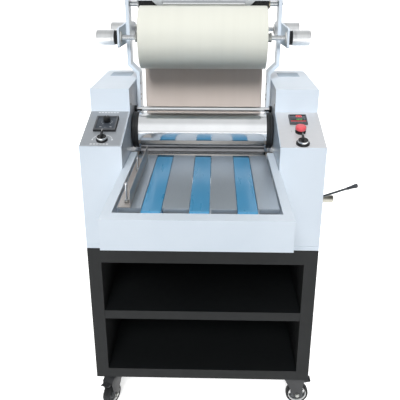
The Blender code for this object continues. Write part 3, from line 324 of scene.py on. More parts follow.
class Shape:
    """Collects closed solids, each with its own finish, into one piece."""

    def __init__(self, place=None):
        self.mesh = bmesh.new()
        self.finishes = []
        self.place = place or Matrix.Identity(4)

    def add(self, solid, finish, place):
        bmesh.ops.transform(solid, matrix=self.place @ place, verts=solid.verts)
        bmesh.ops.recalc_face_normals(solid, faces=solid.faces)
        if finish not in self.finishes:
            self.finishes.append(finish)
        for face in solid.faces:
            face.material_index = self.finishes.index(finish)
        carrier = bpy.data.meshes.new("carrier")
        solid.to_mesh(carrier)
        solid.free()
        self.mesh.from_mesh(carrier)
        bpy.data.meshes.remove(carrier)
        return self

    def turned(self, profile, place, axis, finish, steps=48, ring=False):
        """A lathe shape from (radius, distance along the axis) points; axis is a letter or a direction."""
        solid = bmesh.new()
        points = [solid.verts.new((radius, 0.0, along)) for radius, along in profile]
        pairs = list(zip(points, points[1:])) + ([(points[-1], points[0])] if ring else [])
        edges = [solid.edges.new(pair) for pair in pairs]
        bmesh.ops.spin(solid, geom=points + edges, axis=(0, 0, 1), cent=(0, 0, 0), angle=math.tau,
                       steps=steps, use_merge=True)
        bmesh.ops.remove_doubles(solid, verts=solid.verts, dist=1e-6)
        turn = Matrix.Translation(place) @ AXIS_TURN[axis] if isinstance(axis, str) else aim(place, axis)
        return self.add(solid, finish, turn)

    def block(self, low, high, finish, edge=0.0006, segments=2, place=Matrix.Identity(4)):
        """A box with rounded edges."""
        solid = bmesh.new()
        size = Vector(high) - Vector(low)
        bmesh.ops.create_cube(solid, size=1.0)
        bmesh.ops.scale(solid, vec=size, verts=solid.verts)
        bmesh.ops.translate(solid, vec=(Vector(high) + Vector(low)) / 2, verts=solid.verts)
        if edge:
            bmesh.ops.bevel(solid, geom=solid.edges[:], offset=min(edge, min(size) * 0.45), profile=0.5,
                            segments=segments, affect="EDGES")
        return self.add(solid, finish, place)

    def plate(self, loops, plane, low, high, finish, edge=0.0004, place=Matrix.Identity(4)):
        """A flat shape with holes, between two heights of its plane, with rounded edges."""
        curve = bpy.data.curves.new("outline", "CURVE")
        curve.dimensions = "2D"
        curve.fill_mode = "BOTH"
        curve.extrude = (high - low) / 2 - edge
        curve.bevel_depth = edge
        curve.bevel_resolution = 1
        curve.offset = -edge
        for loop in loops:
            spline = curve.splines.new("POLY")
            spline.points.add(len(loop) - 1)
            for point, (u, v) in zip(spline.points, loop):
                point.co = (u, v, 0.0, 1.0)
            spline.use_cyclic_u = True
        solid = self.from_curve(curve)
        side = -1 if plane == "XZ" else 1
        lift = Matrix.Translation((0.0, 0.0, side * (low + high) / 2))
        return self.add(solid, finish, place @ PLANE_TURN[plane] @ lift)

    def tube(self, points, radius, finish, steps=3, closed=False, place=Matrix.Identity(4)):
        """A round bar along points, with filled ends."""
        curve = bpy.data.curves.new("path", "CURVE")
        curve.dimensions = "3D"
        curve.bevel_depth = radius
        curve.bevel_resolution = steps
        curve.use_fill_caps = True
        spline = curve.splines.new("POLY")
        spline.points.add(len(points) - 1)
        for point, co in zip(spline.points, points):
            point.co = (*co, 1.0)
        spline.use_cyclic_u = closed
        return self.add(self.from_curve(curve), finish, place)

    @staticmethod
    def from_curve(curve):
        holder = bpy.data.objects.new("holder", curve)
        bpy.context.scene.collection.objects.link(holder)
        bpy.context.view_layer.update()
        mesh = bpy.data.meshes.new_from_object(holder.evaluated_get(bpy.context.evaluated_depsgraph_get()))
        solid = bmesh.new()
        solid.from_mesh(mesh)
        bmesh.ops.remove_doubles(solid, verts=solid.verts, dist=1e-6)
        bpy.data.objects.remove(holder)
        bpy.data.curves.remove(curve)
        bpy.data.meshes.remove(mesh)
        return solid

    def bolt(self, place, direction, size, finish=BOLT_ZINC, washer=True):
        """A hexagon bolt head of that thread size on a washer, standing on a surface."""
        at = aim(place, direction)
        lift = size * 0.16 if washer else 0.0
        if washer:
            self.turned([(0.0, 0.0), (size * 1.05, 0.0), (size * 1.1, lift * 0.4), (size * 1.05, lift),
                         (0.0, lift)], at.translation, direction, finish, 24)
        head = size * 0.62
        return self.turned([(0.0, lift), (size * 0.92, lift), (size * 0.96, lift + head * 0.8),
                            (size * 0.8, lift + head), (0.0, lift + head)],
                           at.translation, direction, finish, 6)

    def screw(self, place, direction, size, finish=BOLT_ZINC):
        """A domed socket screw head, its recess sunk in the middle."""
        r = size * 0.9
        dome = [(0.0, 0.0), (r, 0.0), (r, size * 0.12), (r * 0.88, size * 0.36), (r * 0.62, size * 0.52),
                (r * 0.42, size * 0.55), (r * 0.40, size * 0.2), (0.0, size * 0.2)]
        return self.turned(dome, place, direction, finish, 20)

    def done(self, name, body, replaces=(), turn=MACHINE, angle=32.0):
        """Makes the piece, in the row frame, riding on its body."""
        bmesh.ops.transform(self.mesh, matrix=turn, verts=self.mesh.verts)
        mesh = bpy.data.meshes.new(name)
        self.mesh.to_mesh(mesh)
        self.mesh.free()
        for finish in self.finishes:
            mesh.materials.append(finish)
        mesh.shade_smooth()
        mesh.set_sharp_from_angle(angle=math.radians(angle))
        obj = bpy.data.objects.new(name, mesh)
        bpy.context.scene.collection.objects.link(obj)
        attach(obj, body)
        if replaces:
            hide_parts(*replaces)
        return obj


def dress(node, finish, edge=0.0008, segments=2):
    """Gives a CAD node its finish and, in modifiers, rounded edges."""
    obj = NODES[node]
    obj.data.materials.clear()
    obj.data.materials.append(finish)
    if "custom_normal" in obj.data.attributes:
        obj.data.attributes.remove(obj.data.attributes["custom_normal"])
    weld = obj.modifiers.new("weld", "WELD")
    weld.merge_threshold = 1e-5
    flats = obj.modifiers.new("flats", "DECIMATE")
    flats.decimate_type = "DISSOLVE"
    flats.angle_limit = math.radians(0.5)
    if edge:
        bevel = obj.modifiers.new("edges", "BEVEL")
        bevel.width = edge
        bevel.segments = segments
        bevel.limit_method = "ANGLE"
        bevel.angle_limit = math.radians(35)
        bevel.harden_normals = True
    obj.data.shade_smooth()
    obj.data.set_sharp_from_angle(angle=math.radians(32))
    return obj


def both_sides():
    return (("left", -1), ("right", 1))


# ---------------------------------------------------------------- cabinet and casters
def dress_cabinet():
    dress("cabinet", BLACK_PAINT, 0.0010)
    low, high = box_of("cabinet")
    fixings = Shape()
    bottom = low.z + 0.02
    for side in (-1, 1):
        x = side * high.x
        for y in (0.030, 0.2436, high.y - 0.030):
            for z in (-0.030, -0.215, bottom):
                fixings.screw((x, y, z), (side, 0, 0), 0.0048, CASTER_PAINT)
    for x in (-0.28, -0.09, 0.09, 0.28):
        for z in (-0.022, -0.408):
            fixings.screw((x, high.y, z), (0, 1, 0), 0.0048, CASTER_PAINT)
    fixings.done("cabinet_screws", "machine")


CASTER_NAMES = ("front_left", "front_right", "rear_left", "rear_right")
CASTER_PLATE = 0.0030
RACE_RADIUS = 0.0235


def fork_cheek(hub_y, hub_z):
    """Side view of one cheek of a fork: wide under the race, narrowing round the axle."""
    top = -0.0165
    nose = arc((hub_y, hub_z), 0.0105, 330, 190, 8)
    return [(0.0195, top), (-0.0300, top - 0.0035), (-0.0405, top - 0.0120), (-0.0400, top - 0.0190),
            *reversed(nose), (0.0060, -0.0480), (0.0140, -0.0330), (0.0205, top - 0.0040)]


def build_caster(name):
    spin, swivel = JOINTS["wheel_spin_" + name], JOINTS["caster_swivel_" + name]
    stem = Vector(swivel["pos_m"])
    angle = math.atan2(spin["axis"][1], spin["axis"][0])
    underside = box_of("cabinet")[0].z + CASTER_PLATE + ORIGIN.z
    turn = Matrix.Translation((stem.x, stem.y, underside)) @ Matrix.Rotation(angle, 4, "Z")
    hub = turn.inverted() @ Vector(spin["pos_m"])
    body = "caster_" + name
    fork = Shape()
    race = [(0.0, -0.0034), (0.0215, -0.0034), (RACE_RADIUS, -0.0050), (RACE_RADIUS, -0.0085),
            (0.0222, -0.0096), (0.0232, -0.0112), (0.0215, -0.0150), (0.0150, -0.0172), (0.0, -0.0172)]
    fork.turned(race, (0, 0, 0), "Z", CASTER_PAINT)
    half, sheet = 0.0170, 0.0026
    fork.block((-half, -0.0300, -0.0192), (half, 0.0200, -0.0166), CASTER_PAINT, 0.0010)
    slope = Matrix.Translation((0.0, -0.0290, -0.0192)) @ Matrix.Rotation(math.radians(38), 4, "X")
    fork.block((-half, -0.0150, 0.0), (half, 0.0030, sheet), CASTER_PAINT, 0.0009, place=slope)
    for side in (-1, 1):
        low, high = sorted((side * half, side * (half - sheet)))
        fork.plate([fork_cheek(hub.y, hub.z)], "YZ", low, high, CASTER_PAINT, 0.0005)
        fork.bolt((side * half, hub.y, hub.z), (side, 0, 0), 0.0062)
    fork.turned([(0.0, -half), (0.0042, -half), (0.0042, half), (0.0, half)], (0, hub.y, hub.z), "X",
                BOLT_ZINC)
    fork.turned([(0.0, -0.0250), (0.0046, -0.0250), (0.0058, -0.0230), (0.0058, -0.0192), (0.0, -0.0192)],
                (0, 0, 0), "Z", BOLT_ZINC, 6)
    fork.done("caster_fork_detail_" + name, body, ["caster_fork_" + name], turn)
    build_wheel(name, turn, hub)
    if "pedal_press_" + name in JOINTS:
        build_pedal(name, turn)


def build_wheel(name, turn, hub):
    """A rubber tyre on a nylon rim whose web has four crescent windows."""
    low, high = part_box("caster_wheel_" + name)
    radius, half = (high.z - low.z) / 2, 0.0128
    wheel = Shape()
    rim = radius * 0.80
    tyre = [(rim, -half + 0.0025), (rim + 0.0020, -half), (radius - 0.0030, -half + 0.0008),
            (radius - 0.0006, -half + 0.0042), (radius, -0.0030), (radius, 0.0030),
            (radius - 0.0006, half - 0.0042), (radius - 0.0030, half - 0.0008), (rim + 0.0020, half),
            (rim, half - 0.0025)]
    wheel.turned(tyre, hub, "X", RUBBER, 64, ring=True)
    ledge = rim - 0.0022
    wheel.turned([(rim, -half + 0.0022), (rim, half - 0.0022), (ledge, half - 0.0030),
                  (ledge, -half + 0.0030)],
                 hub, "X", NYLON, 64, ring=True)
    holes = []
    for middle in (0, 90, 180, 270):
        crescent = arc((0, 0), ledge - 0.0012, middle - 30, middle + 30, 10)
        crescent += arc((0, 0), ledge - 0.0062, middle + 26, middle - 26, 8)
        holes.append(crescent)
    web = [arc((0, 0), ledge + 0.0004, 0, 354, 59)] + holes
    wheel.plate(web, "YZ", -0.0050, 0.0050, WHEEL_GREY, 0.0006, Matrix.Translation(hub))
    boss = [(0.0048, -half), (0.0100, -half), (0.0112, -half + 0.0012), (0.0112, half - 0.0012),
            (0.0100, half), (0.0048, half)]
    wheel.turned(boss, hub, "X", WHEEL_GREY, 40, ring=True)
    wheel.done("caster_wheel_detail_" + name, "wheel_" + name, ["caster_wheel_" + name], turn)


def build_pedal(name, turn):
    """A pressed pedal with a rolled tip, over the fork's sloping end."""
    hinge = turn.inverted() @ Vector(JOINTS["pedal_press_" + name]["pos_m"])
    at = Matrix.Translation(hinge) @ Matrix.Rotation(math.radians(8), 4, "X")
    half = 0.0128
    outline = [(-0.0030, 0.0010), (-0.0190, 0.0010)]
    outline += arc((-0.0190, 0.0075), 0.0065, 270, 205, 6)
    outline += arc((-0.0190, 0.0075), 0.0090, 205, 270, 6)
    outline += [(-0.0040, -0.0017), (0.0010, -0.0017), (0.0010, 0.0010)]
    pedal = Shape()
    pedal.plate([outline], "YZ", -half, half, CASTER_PAINT, 0.0004, at)
    for side in (-1, 1):
        low, high = sorted((side * half, side * (half - 0.0018)))
        pedal.plate([[(-0.0180, 0.0), (0.0010, 0.0), (0.0010, -0.0050), (-0.0150, -0.0040)]],
                    "YZ", low, high, CASTER_PAINT, 0.0003, at)
    for rib in (-0.0070, -0.0105, -0.0140):
        pedal.block((-half + 0.003, rib, 0.0008), (half - 0.003, rib + 0.0014, 0.0018), CASTER_PAINT, 0.0003,
                    place=at)
    pedal.done("caster_pedal_detail_" + name, "pedal_" + name, ["caster_pedal_" + name],
               turn)


def build_caster_fixings():
    plate_bolts = Shape()
    low = box_of("cabinet")[0].z
    for name in CASTER_NAMES:
        stem = place_of("caster_swivel_" + name)
        for dx in (-0.0245, 0.0245):
            for dy in (-0.0245, 0.0245):
                plate_bolts.bolt((stem.x + dx, stem.y + dy, low), (0, 0, -1), 0.0042)
    plate_bolts.done("caster_plate_bolts", "machine")


# ---------------------------------------------------------------- body
def vent(shape, centre, half, slots, direction, finish):
    """A row of pressed louvres on a top, rear or side face."""
    across = Matrix.Translation(centre) @ PLANE_TURN[direction]
    for index in range(slots):
        y = (index - (slots - 1) / 2) * half[1] * 2 / slots
        low, high = y - half[1] * 0.5 / slots, y + half[1] * 0.5 / slots
        outline = [(-half[0], low), *arc((half[0], y), (high - low) / 2, -90, 90, 4),
                   *arc((-half[0], y), (high - low) / 2, 90, 270, 4)]
        shape.plate([outline], "XY", -0.0002, 0.0011, finish, 0.0004, across)


def dress_body():
    for node in ("left_housing", "right_housing"):
        dress(node, BLUE_PAINT, 0.0016, 3)
    dress("base_plate", BLUE_PAINT, 0.0010)
    for node in ("left_side_frame", "right_side_frame"):
        dress(node, BAR_STEEL, 0.0006)
    dress("drive_motor", DARK_METAL, 0.0006)
    for node in ("left_pressure_block", "right_pressure_block"):
        dress(node, BAR_STEEL, 0.0006)
    for tag, side in both_sides():
        low, high = box_of(tag + "_housing")
        fixings = Shape()
        outer = high.x if side > 0 else low.x
        inner = low.x if side > 0 else high.x
        for y in (0.022, 0.160, 0.330, high.y - 0.022):
            fixings.screw((outer, y, 0.0300), (side, 0, 0), 0.0040)
        for y in (0.198, 0.330, high.y - 0.022):
            fixings.screw((outer, y, high.z - 0.0200), (side, 0, 0), 0.0040)
        middle = (low.x + high.x) / 2
        for x in (low.x + 0.015, high.x - 0.015):
            for z in (0.0300, high.z - 0.0200):
                fixings.screw((x, high.y, z), (0, 1, 0), 0.0040)
        fixings.screw((inner, 0.1950, 0.3550), (-side, 0, 0), 0.0032)
        fixings.screw((inner, 0.4550, 0.3550), (-side, 0, 0), 0.0032)
        fixings.done(tag + "_housing_screws", "machine")
        louvres = Shape()
        vent(louvres, (middle, 0.4140, high.z), (0.0300, 0.0340), 6, "XY", VENT_DARKER_TONE)
        flipped = Matrix.Translation((middle, high.y, 0.1300)) @ Matrix.Rotation(math.pi, 4, "Z")
        for index in range(8):
            z = index * 0.0130
            outline = [(-0.030, z), (0.030, z), (0.030, z + 0.0055), (-0.030, z + 0.0055)]
            louvres.plate([outline], "XZ", -0.0012, 0.0002, BLUE_PAINT, 0.0004, flipped)
        louvres.done(tag + "_housing_louvres", "machine")


# ---------------------------------------------------------------- control panels
SEGMENTS = {"0": "abcdef", "1": "bc", "2": "abged", "3": "abgcd", "5": "afgcd", "8": "abcdefg"}


def segment_digits(shape, text, corner, width, height, lift, finish):
    """Seven-segment digits drawn with thin bars on the panel's plane."""
    bar = height * 0.15
    for place, digit in enumerate(text):
        x, y = corner[0] + place * width * 1.45, corner[1]
        half = height / 2
        bars = {"a": (x, y + height, width, 0), "g": (x, y + half, width, 0), "d": (x, y, width, 0),
                "f": (x, y + half, 0, half), "b": (x + width, y + half, 0, half),
                "e": (x, y, 0, half), "c": (x + width, y, 0, half)}
        for letter in SEGMENTS[digit]:
            left, low, run, rise = bars[letter]
            pad = bar * 0.6
            shape.block((left - bar / 2 + (pad if run else 0), low - bar / 2 + (pad if rise else 0), lift),
                        (left + run + bar / 2 - (pad if run else 0),
                         low + rise + bar / 2 - (pad if rise else 0),
                         lift + 0.0003), finish, 0.0001, 1)


def printed(shape, outline, finish, lift=0.0):
    shape.plate([outline], "XY", lift, lift + 0.00018, finish, 0.00004)


def arc_arrow(shape, centre, radius, start, end, finish):
    """A printed curved arrow round a control."""
    width = 0.0011
    band = arc(centre, radius + width / 2, start, end, 12) + arc(centre, radius - width / 2, end, start, 12)
    printed(shape, band, finish)
    tip = arc(centre, radius, end, end + (14 if end > start else -14), 1)[1]
    printed(shape, [arc(centre, radius + 0.0022, end, end, 1)[0], tip,
                    arc(centre, radius - 0.0022, end, end, 1)[0]], finish)


def build_selector(tag, base_radius, bezel_radius, place):
    """Round base, chrome bezel with a rolled edge, and the turning head with its bar."""
    x, y = place
    base = Shape()
    base.turned([(0.0, 0.0004), (base_radius, 0.0004), (base_radius, 0.0030), (base_radius - 0.0012, 0.0047),
                 (bezel_radius - 0.0010, 0.0049), (0.0, 0.0049)], (x, y, 0), "Z", BLACK_PLASTIC, 64)
    base.turned([(bezel_radius - 0.0014, 0.0049), (bezel_radius - 0.0003, 0.0049), (bezel_radius, 0.0056),
                 (bezel_radius, 0.0104), (bezel_radius - 0.0005, 0.0112), (bezel_radius - 0.0011, 0.0112),
                 (bezel_radius - 0.0014, 0.0104)], (x, y, 0), "Z", BAR_CHROME, 64, ring=True)
    base.done(tag + "_selector_base_detail", "machine", [tag + "_selector_base"], PANEL)
    handle = Shape()
    head = bezel_radius - 0.0019
    skirt = [(0.0, 0.0074), (head - 0.0006, 0.0074), (head, 0.0080), (head, 0.0098), (head - 0.0008, 0.0106),
             (0.0, 0.0108)]
    handle.turned(skirt, (x, y, 0), "Z", BLACK_PLASTIC, 64)
    reach = head - 0.0020
    grip = arc((x, y - reach + 0.0022), 0.0022, 180, 360, 8) + arc((x, y + 0.0190), 0.0018, 0, 180, 8)
    handle.plate([grip], "XY", 0.0104, 0.0213, BLACK_PLASTIC, 0.0007)
    handle.block((x - 0.0004, y + 0.0090, 0.0212), (x + 0.0004, y + 0.0200, 0.0214), WHITE_PRINT, 0.0)
    handle.done(tag + "_selector_handle_detail", tag + "_selector",
                [tag + "_selector_handle"],
                PANEL)


def build_speed_control():
    """Flush speed controller: rim, recessed dial face with ticks, and its fluted knob."""
    low, high, top = (-0.2907, 0.0703), (-0.2306, 0.1433), 0.0082
    knob_at = (-0.2588, 0.1120)
    unit = Shape()
    unit.block((low[0], low[1], 0.0003), (high[0], high[1], 0.0056), BLACK_PLASTIC, 0.0012, 3)
    rim = [[(low[0] + a, low[1] + a), (high[0] - a, low[1] + a), (high[0] - a, high[1] - a),
            (low[0] + a, high[1] - a)] for a in (0.0008, 0.0056)]
    unit.plate(rim, "XY", 0.0050, top, BEZEL_PLASTIC, 0.0008)
    unit.block((low[0] + 0.0052, low[1] + 0.0052, 0.0050), (high[0] - 0.0052, high[1] - 0.0052, 0.0064),
               DIAL_PLASTIC, 0.0004)
    lift = 0.0064
    for step in range(11):
        angle = math.radians(225 - 27 * step)
        inner, outer = 0.0128, 0.0150 + (0.0012 if step % 5 == 0 else 0.0)
        across = Vector((-math.sin(angle), math.cos(angle))) * 0.00035
        ends = [Vector(knob_at) + Vector((math.cos(angle), math.sin(angle))) * r for r in (inner, outer)]
        printed(unit, [ends[0] - across, ends[1] - across, ends[1] + across, ends[0] + across], WHITE_PRINT,
                lift)
    for row, (x, y) in enumerate(((-0.2725, 0.0850), (-0.2590, 0.0822), (-0.2455, 0.0850))):
        printed(unit, [(x - 0.0030, y), (x + 0.0030, y), (x + 0.0030, y + 0.0011), (x - 0.0030, y + 0.0011)],
                WHITE_PRINT if row != 1 else GREY_PRINT, lift)
    unit.done("speed_controller_detail", "machine", ["speed_controller"], PANEL)
    knob = Shape()
    flutes = []
    for step in range(72):
        angle = math.tau * step / 72
        r = 0.0091 - 0.0004 * (0.5 + 0.5 * math.cos(24 * angle))
        flutes.append((knob_at[0] + r * math.cos(angle), knob_at[1] + r * math.sin(angle)))
    knob.plate([flutes], "XY", 0.0112, 0.0213, BLACK_PLASTIC, 0.0003)
    knob.turned([(0.0, 0.0086), (0.0090, 0.0086), (0.0093, 0.0094), (0.0092, 0.0114), (0.0, 0.0114)],
                (*knob_at, 0), "Z", BLACK_PLASTIC)
    knob.turned([(0.0, 0.0210), (0.0080, 0.0210), (0.0074, 0.0221), (0.0062, 0.0224), (0.0, 0.0221)],
                (*knob_at, 0), "Z", BLACK_PLASTIC)
    knob.block((knob_at[0] - 0.0005, knob_at[1] + 0.0020, 0.0221),
               (knob_at[0] + 0.0005, knob_at[1] + 0.0074, 0.0225),
               WHITE_PRINT, 0.0)
    knob.done("speed_knob_detail", "speed_knob", ["speed_knob"], PANEL)


def build_temperature_control():
    """Square controller: bevelled rim, dark window, two rows of digits, red strip and four keys."""
    low, high = (0.2316, 0.1125), (0.2796, 0.1607)
    unit = Shape()
    unit.block((low[0], low[1], 0.0003), (high[0], high[1], 0.0044), BEZEL_PLASTIC, 0.0010, 3)
    rim = [[(low[0] + a, low[1] + a), (high[0] - a, low[1] + a), (high[0] - a, high[1] - a),
            (low[0] + a, high[1] - a)] for a in (0.0004, 0.0034)]
    unit.plate(rim, "XY", 0.0040, 0.0063, BEZEL_PLASTIC, 0.0007)
    split = low[1] + 0.0150
    unit.block((low[0] + 0.0032, split, 0.0040), (high[0] - 0.0032, high[1] - 0.0032, 0.0050), SCREEN, 0.0003)
    unit.block((low[0] + 0.0032, split - 0.0036, 0.0040), (high[0] - 0.0032, split, 0.0053), RED_STRIP,
               0.0002)
    unit.block((low[0] + 0.0032, low[1] + 0.0032, 0.0040), (high[0] - 0.0032, split - 0.0036, 0.0049),
               BEZEL_PLASTIC, 0.0003)
    for key in range(4):
        x = low[0] + 0.0068 + key * 0.0092
        unit.block((x, low[1] + 0.0048, 0.0046), (x + 0.0066, low[1] + 0.0088, 0.0058), GRIP_PLASTIC, 0.0006)
    segment_digits(unit, "100", (low[0] + 0.0152, high[1] - 0.0136), 0.0048, 0.0080, 0.0050, RED_GLOW)
    segment_digits(unit, "120", (low[0] + 0.0152, split + 0.0034), 0.0048, 0.0062, 0.0050, GREEN_GLOW)
    for row in range(3):
        unit.turned([(0.0, 0.0), (0.0009, 0.0), (0.0007, 0.0005), (0.0, 0.0006)],
                    (high[0] - 0.0062, split + 0.0050 + row * 0.0070, 0.0050), "Z", GREY_PRINT, 16)
    unit.done("temperature_controller_detail", "machine", ["temperature_controller"], PANEL)


def build_stop_button():
    at = (0.2556, 0.0757, 0.0)
    base = Shape()
    base.turned([(0.0066, 0.0003), (0.0138, 0.0003), (0.0138, 0.0040), (0.0130, 0.0052), (0.0068, 0.0054)],
                at, "Z", BLACK_PLASTIC, 56, ring=True)
    base.done("stop_button_base_detail", "machine", ["stop_button_base"], PANEL)
    head = Shape()
    head.turned([(0.0, 0.0042), (0.0060, 0.0042), (0.0060, 0.0086), (0.0128, 0.0088), (0.0138, 0.0094),
                 (0.0142, 0.0106), (0.0142, 0.0152), (0.0139, 0.0168), (0.0129, 0.0180), (0.0112, 0.0187),
                 (0.0060, 0.0190), (0.0, 0.0190)], at, "Z", RED_PLASTIC, 64)
    head.done("stop_button_detail", "stop_button", ["stop_button"], PANEL, angle=50)


def dress_panels():
    for tag, finish in (("left", PANEL_DARK), ("right", PANEL_PALE)):
        dress(tag + "_panel", finish, 0.0003, 1)
    build_selector("left", 0.0150, 0.0130, (-0.2600, 0.0292))
    build_selector("right", 0.0175, 0.0140, (0.2556, 0.0190))
    build_speed_control()
    build_temperature_control()
    build_stop_button()
    graphics = Shape()
    centre = (-0.2600, 0.0292)
    arc_arrow(graphics, centre, 0.0260, 100, 172, WHITE_PRINT)
    arc_arrow(graphics, centre, 0.0260, 80, 8, WHITE_PRINT)
    for x, tall in ((0.2330, 0.0787), (0.2335, 0.0270)):
        printed(graphics, [(x - 0.0016, tall), (x + 0.0016, tall), (x + 0.0016, tall + 0.0007),
                           (x - 0.0016, tall + 0.0007)], GREY_PRINT)
    printed(graphics, arc((0.2330, 0.0815), 0.0011, 0, 345, 15), GREY_PRINT)
    for start, y, strokes in ((-0.2920, 0.1715, 7), (-0.2890, 0.0085, 6)):
        for index in range(strokes):
            x = start + index * 0.0083
            printed(graphics, [(x, y), (x + 0.0060, y), (x + 0.0066, y + 0.0034), (x + 0.0006, y + 0.0034)],
                    WHITE_PRINT)
    inner = MID - 0.2017 - 0.0020
    left = -0.3145
    length = 0.1813
    for low_x, low_y, high_x, high_y in ((inner - 0.0020, 0.002, inner - 0.0005, length),
                                         (left, length - 0.0016, inner, length - 0.0002),
                                         (left, 0.0012, inner, 0.0024)):
        printed(graphics, [(low_x, low_y), (high_x, low_y), (high_x, high_y), (low_x, high_y)], LINE_PRINT)
    graphics.done("panel_print", "machine", turn=PANEL)


# ---------------------------------------------------------------- feed table
def build_belt(tag):
    """An endless belt: its flat runs crowned by a hair, finely rounded over the drums."""
    low, high = box_of("feed_belt_" + tag)
    radius = (high.z - low.z) / 2
    z = (high.z + low.z) / 2
    front, rear = low.y + radius, high.y - radius
    thickness = 0.0019
    loops = [arc((front, z), r, 270, 90, 28) + arc((rear, z), r, 90, -90, 28)
             for r in (radius, radius - thickness)]
    belt = Shape()
    belt.plate(loops, "YZ", low.x, high.x, BELT, 0.0005)
    belt.done("feed_belt_detail_" + tag, "machine", ["feed_belt_" + tag])


def build_belt_shaft(tag):
    low, high = box_of(tag + "_belt_shaft")
    y, z, r = (low.y + high.y) / 2, (low.z + high.z) / 2, (high.z - low.z) / 2
    shaft = Shape()
    shaft.turned([(0.0, low.x), (0.0044, low.x), (0.0050, low.x + 0.0006), (0.0050, high.x - 0.0006),
                  (0.0044, high.x), (0.0, high.x)], (0, y, z), "X", DARK_METAL)
    for belt in ("left", "middle", "right"):
        start, end = box_of("feed_belt_" + belt)
        profile = [(0.0049, start.x), (r - 0.0010, start.x), (r, start.x + 0.0010), (r, end.x - 0.0010),
                   (r - 0.0010, end.x), (0.0049, end.x)]
        shaft.turned(profile, (0, y, z), "X", KNOB_METAL, 48, ring=True)
    shaft.done(tag + "_belt_shaft_detail", tag + "_belt_shaft", [tag + "_belt_shaft"])


def build_clamp(tag):
    """Thumb clamp on the side guide: washer, knurled foot and a slim post with a round top."""
    low, high = box_of("guide_clamp_" + tag)
    x, y, foot, tall = (low.x + high.x) / 2, (low.y + high.y) / 2, low.z, high.z - low.z
    clamp = Shape()
    clamp.turned([(0.0, 0.0), (0.0060, 0.0), (0.0060, 0.0009), (0.0, 0.0009)], (x, y, foot), "Z", BOLT_ZINC)
    knurl = []
    for step in range(96):
        angle = math.tau * step / 96
        r = 0.0051 + (0.0003 if step % 4 < 2 else 0.0)
        knurl.append((x + r * math.cos(angle), y + r * math.sin(angle)))
    clamp.plate([knurl], "XY", foot + 0.0009, foot + 0.0072, KNOB_METAL, 0.0003)
    clamp.turned([(0.0, 0.0070), (0.0030, 0.0070), (0.0020, 0.0100), (0.0019, 0.0180),
                  (0.0024, tall - 0.0130),
                  (0.0029, tall - 0.0060), (0.0031, tall - 0.0030), (0.0024, tall - 0.0010), (0.0, tall)],
                 (x, y, foot), "Z", BAR_CHROME, 32)
    clamp.done("guide_clamp_detail_" + tag, "guide_clamp_" + tag, ["guide_clamp_" + tag],
               angle=45)


def dress_table():
    dress("table_frame", BLUE_PAINT, 0.0016, 3)
    dress("bed_strips", BED_STEEL, 0.0003, 1)
    dress("side_guide", GUIDE_STEEL, 0.0004)
    for tag in ("left", "middle", "right"):
        build_belt(tag)
    for tag in ("front", "rear"):
        build_belt_shaft(tag)
        build_clamp(tag)
    bed_low, bed_high = box_of("bed_strips")
    belts = [box_of("feed_belt_" + tag) for tag in ("left", "middle", "right")]
    starts = [bed_low.x] + [high.x for low, high in belts]
    ends = [low.x for low, high in belts] + [bed_high.x]
    folds = Shape()
    for start, end in zip(starts, ends):
        folds.block((start + 0.0040, bed_low.y - 0.0014, 0.1905), (end - 0.0008, bed_low.y - 0.0004, 0.2165),
                    BED_STEEL, 0.0003)
    folds.done("bed_strip_folds", "machine")
    fixings = Shape()
    low, high = box_of("table_frame")
    for x in (low.x, high.x):
        side = 1 if x > 0 else -1
        for y in (low.y + 0.040, low.y + 0.170, -0.045):
            fixings.screw((x, y, low.z + 0.018), (side, 0, 0), 0.0036)
    fixings.done("table_screws", "machine")


# ---------------------------------------------------------------- rollers and film path
def build_heated_roller():
    low, high = box_of("heated_roller")
    y, z = (low.y + high.y) / 2, (low.z + high.z) / 2
    body, ring, half, end = 0.0498, 0.0514, 0.1820, 0.2010
    journal = high.x - MID
    roller = Shape()
    roller.turned([(0.0, -half), (body - 0.0010, -half), (body, -half + 0.0010), (body, half - 0.0010),
                   (body - 0.0010, half), (0.0, half)], (MID, y, z), "X", CHROME, 128)
    for side in (-1, 1):
        cap = [(0.0125, half), (ring - 0.0008, half), (ring, half + 0.0009), (ring, half + 0.0062),
               (ring - 0.0012, half + 0.0072), (ring - 0.0012, half + 0.0090), (ring, half + 0.0100),
               (ring, half + 0.0150), (ring - 0.0010, half + 0.0165), (0.0440, end), (0.0125, end)]
        roller.turned([(r, side * x) for r, x in cap], (MID, y, z), "X", RING_RUBBER, 96, ring=True)
        neck = [(0.0, end - 0.001), (0.0124, end - 0.001), (0.0124, journal - 0.0010), (0.0114, journal),
                (0.0, journal)]
        roller.turned([(r, side * x) for r, x in neck], (MID, y, z), "X", SHAFT_STEEL)
    roller.done("heated_roller_detail", "heated_roller", ["heated_roller"])


def build_pressure_roller():
    low, high = box_of("pressure_roller")
    y, z, r = (low.y + high.y) / 2, (low.z + high.z) / 2, (high.z - low.z) / 2
    half, tip = 0.1800, high.x - MID
    roller = Shape()
    roller.turned([(0.0, -half), (r - 0.0015, -half), (r, -half + 0.0015), (r, half - 0.0015),
                   (r - 0.0015, half), (0.0, half)], (MID, y, z), "X", SILICONE, 72)
    roller.turned([(0.0, -tip), (0.0068, -tip), (0.0074, -tip + 0.0007), (0.0074, tip - 0.0007),
                   (0.0068, tip),
                   (0.0, tip)], (MID, y, z), "X", SHAFT_STEEL)
    roller.done("pressure_roller_detail", "pressure_roller", ["pressure_roller"])


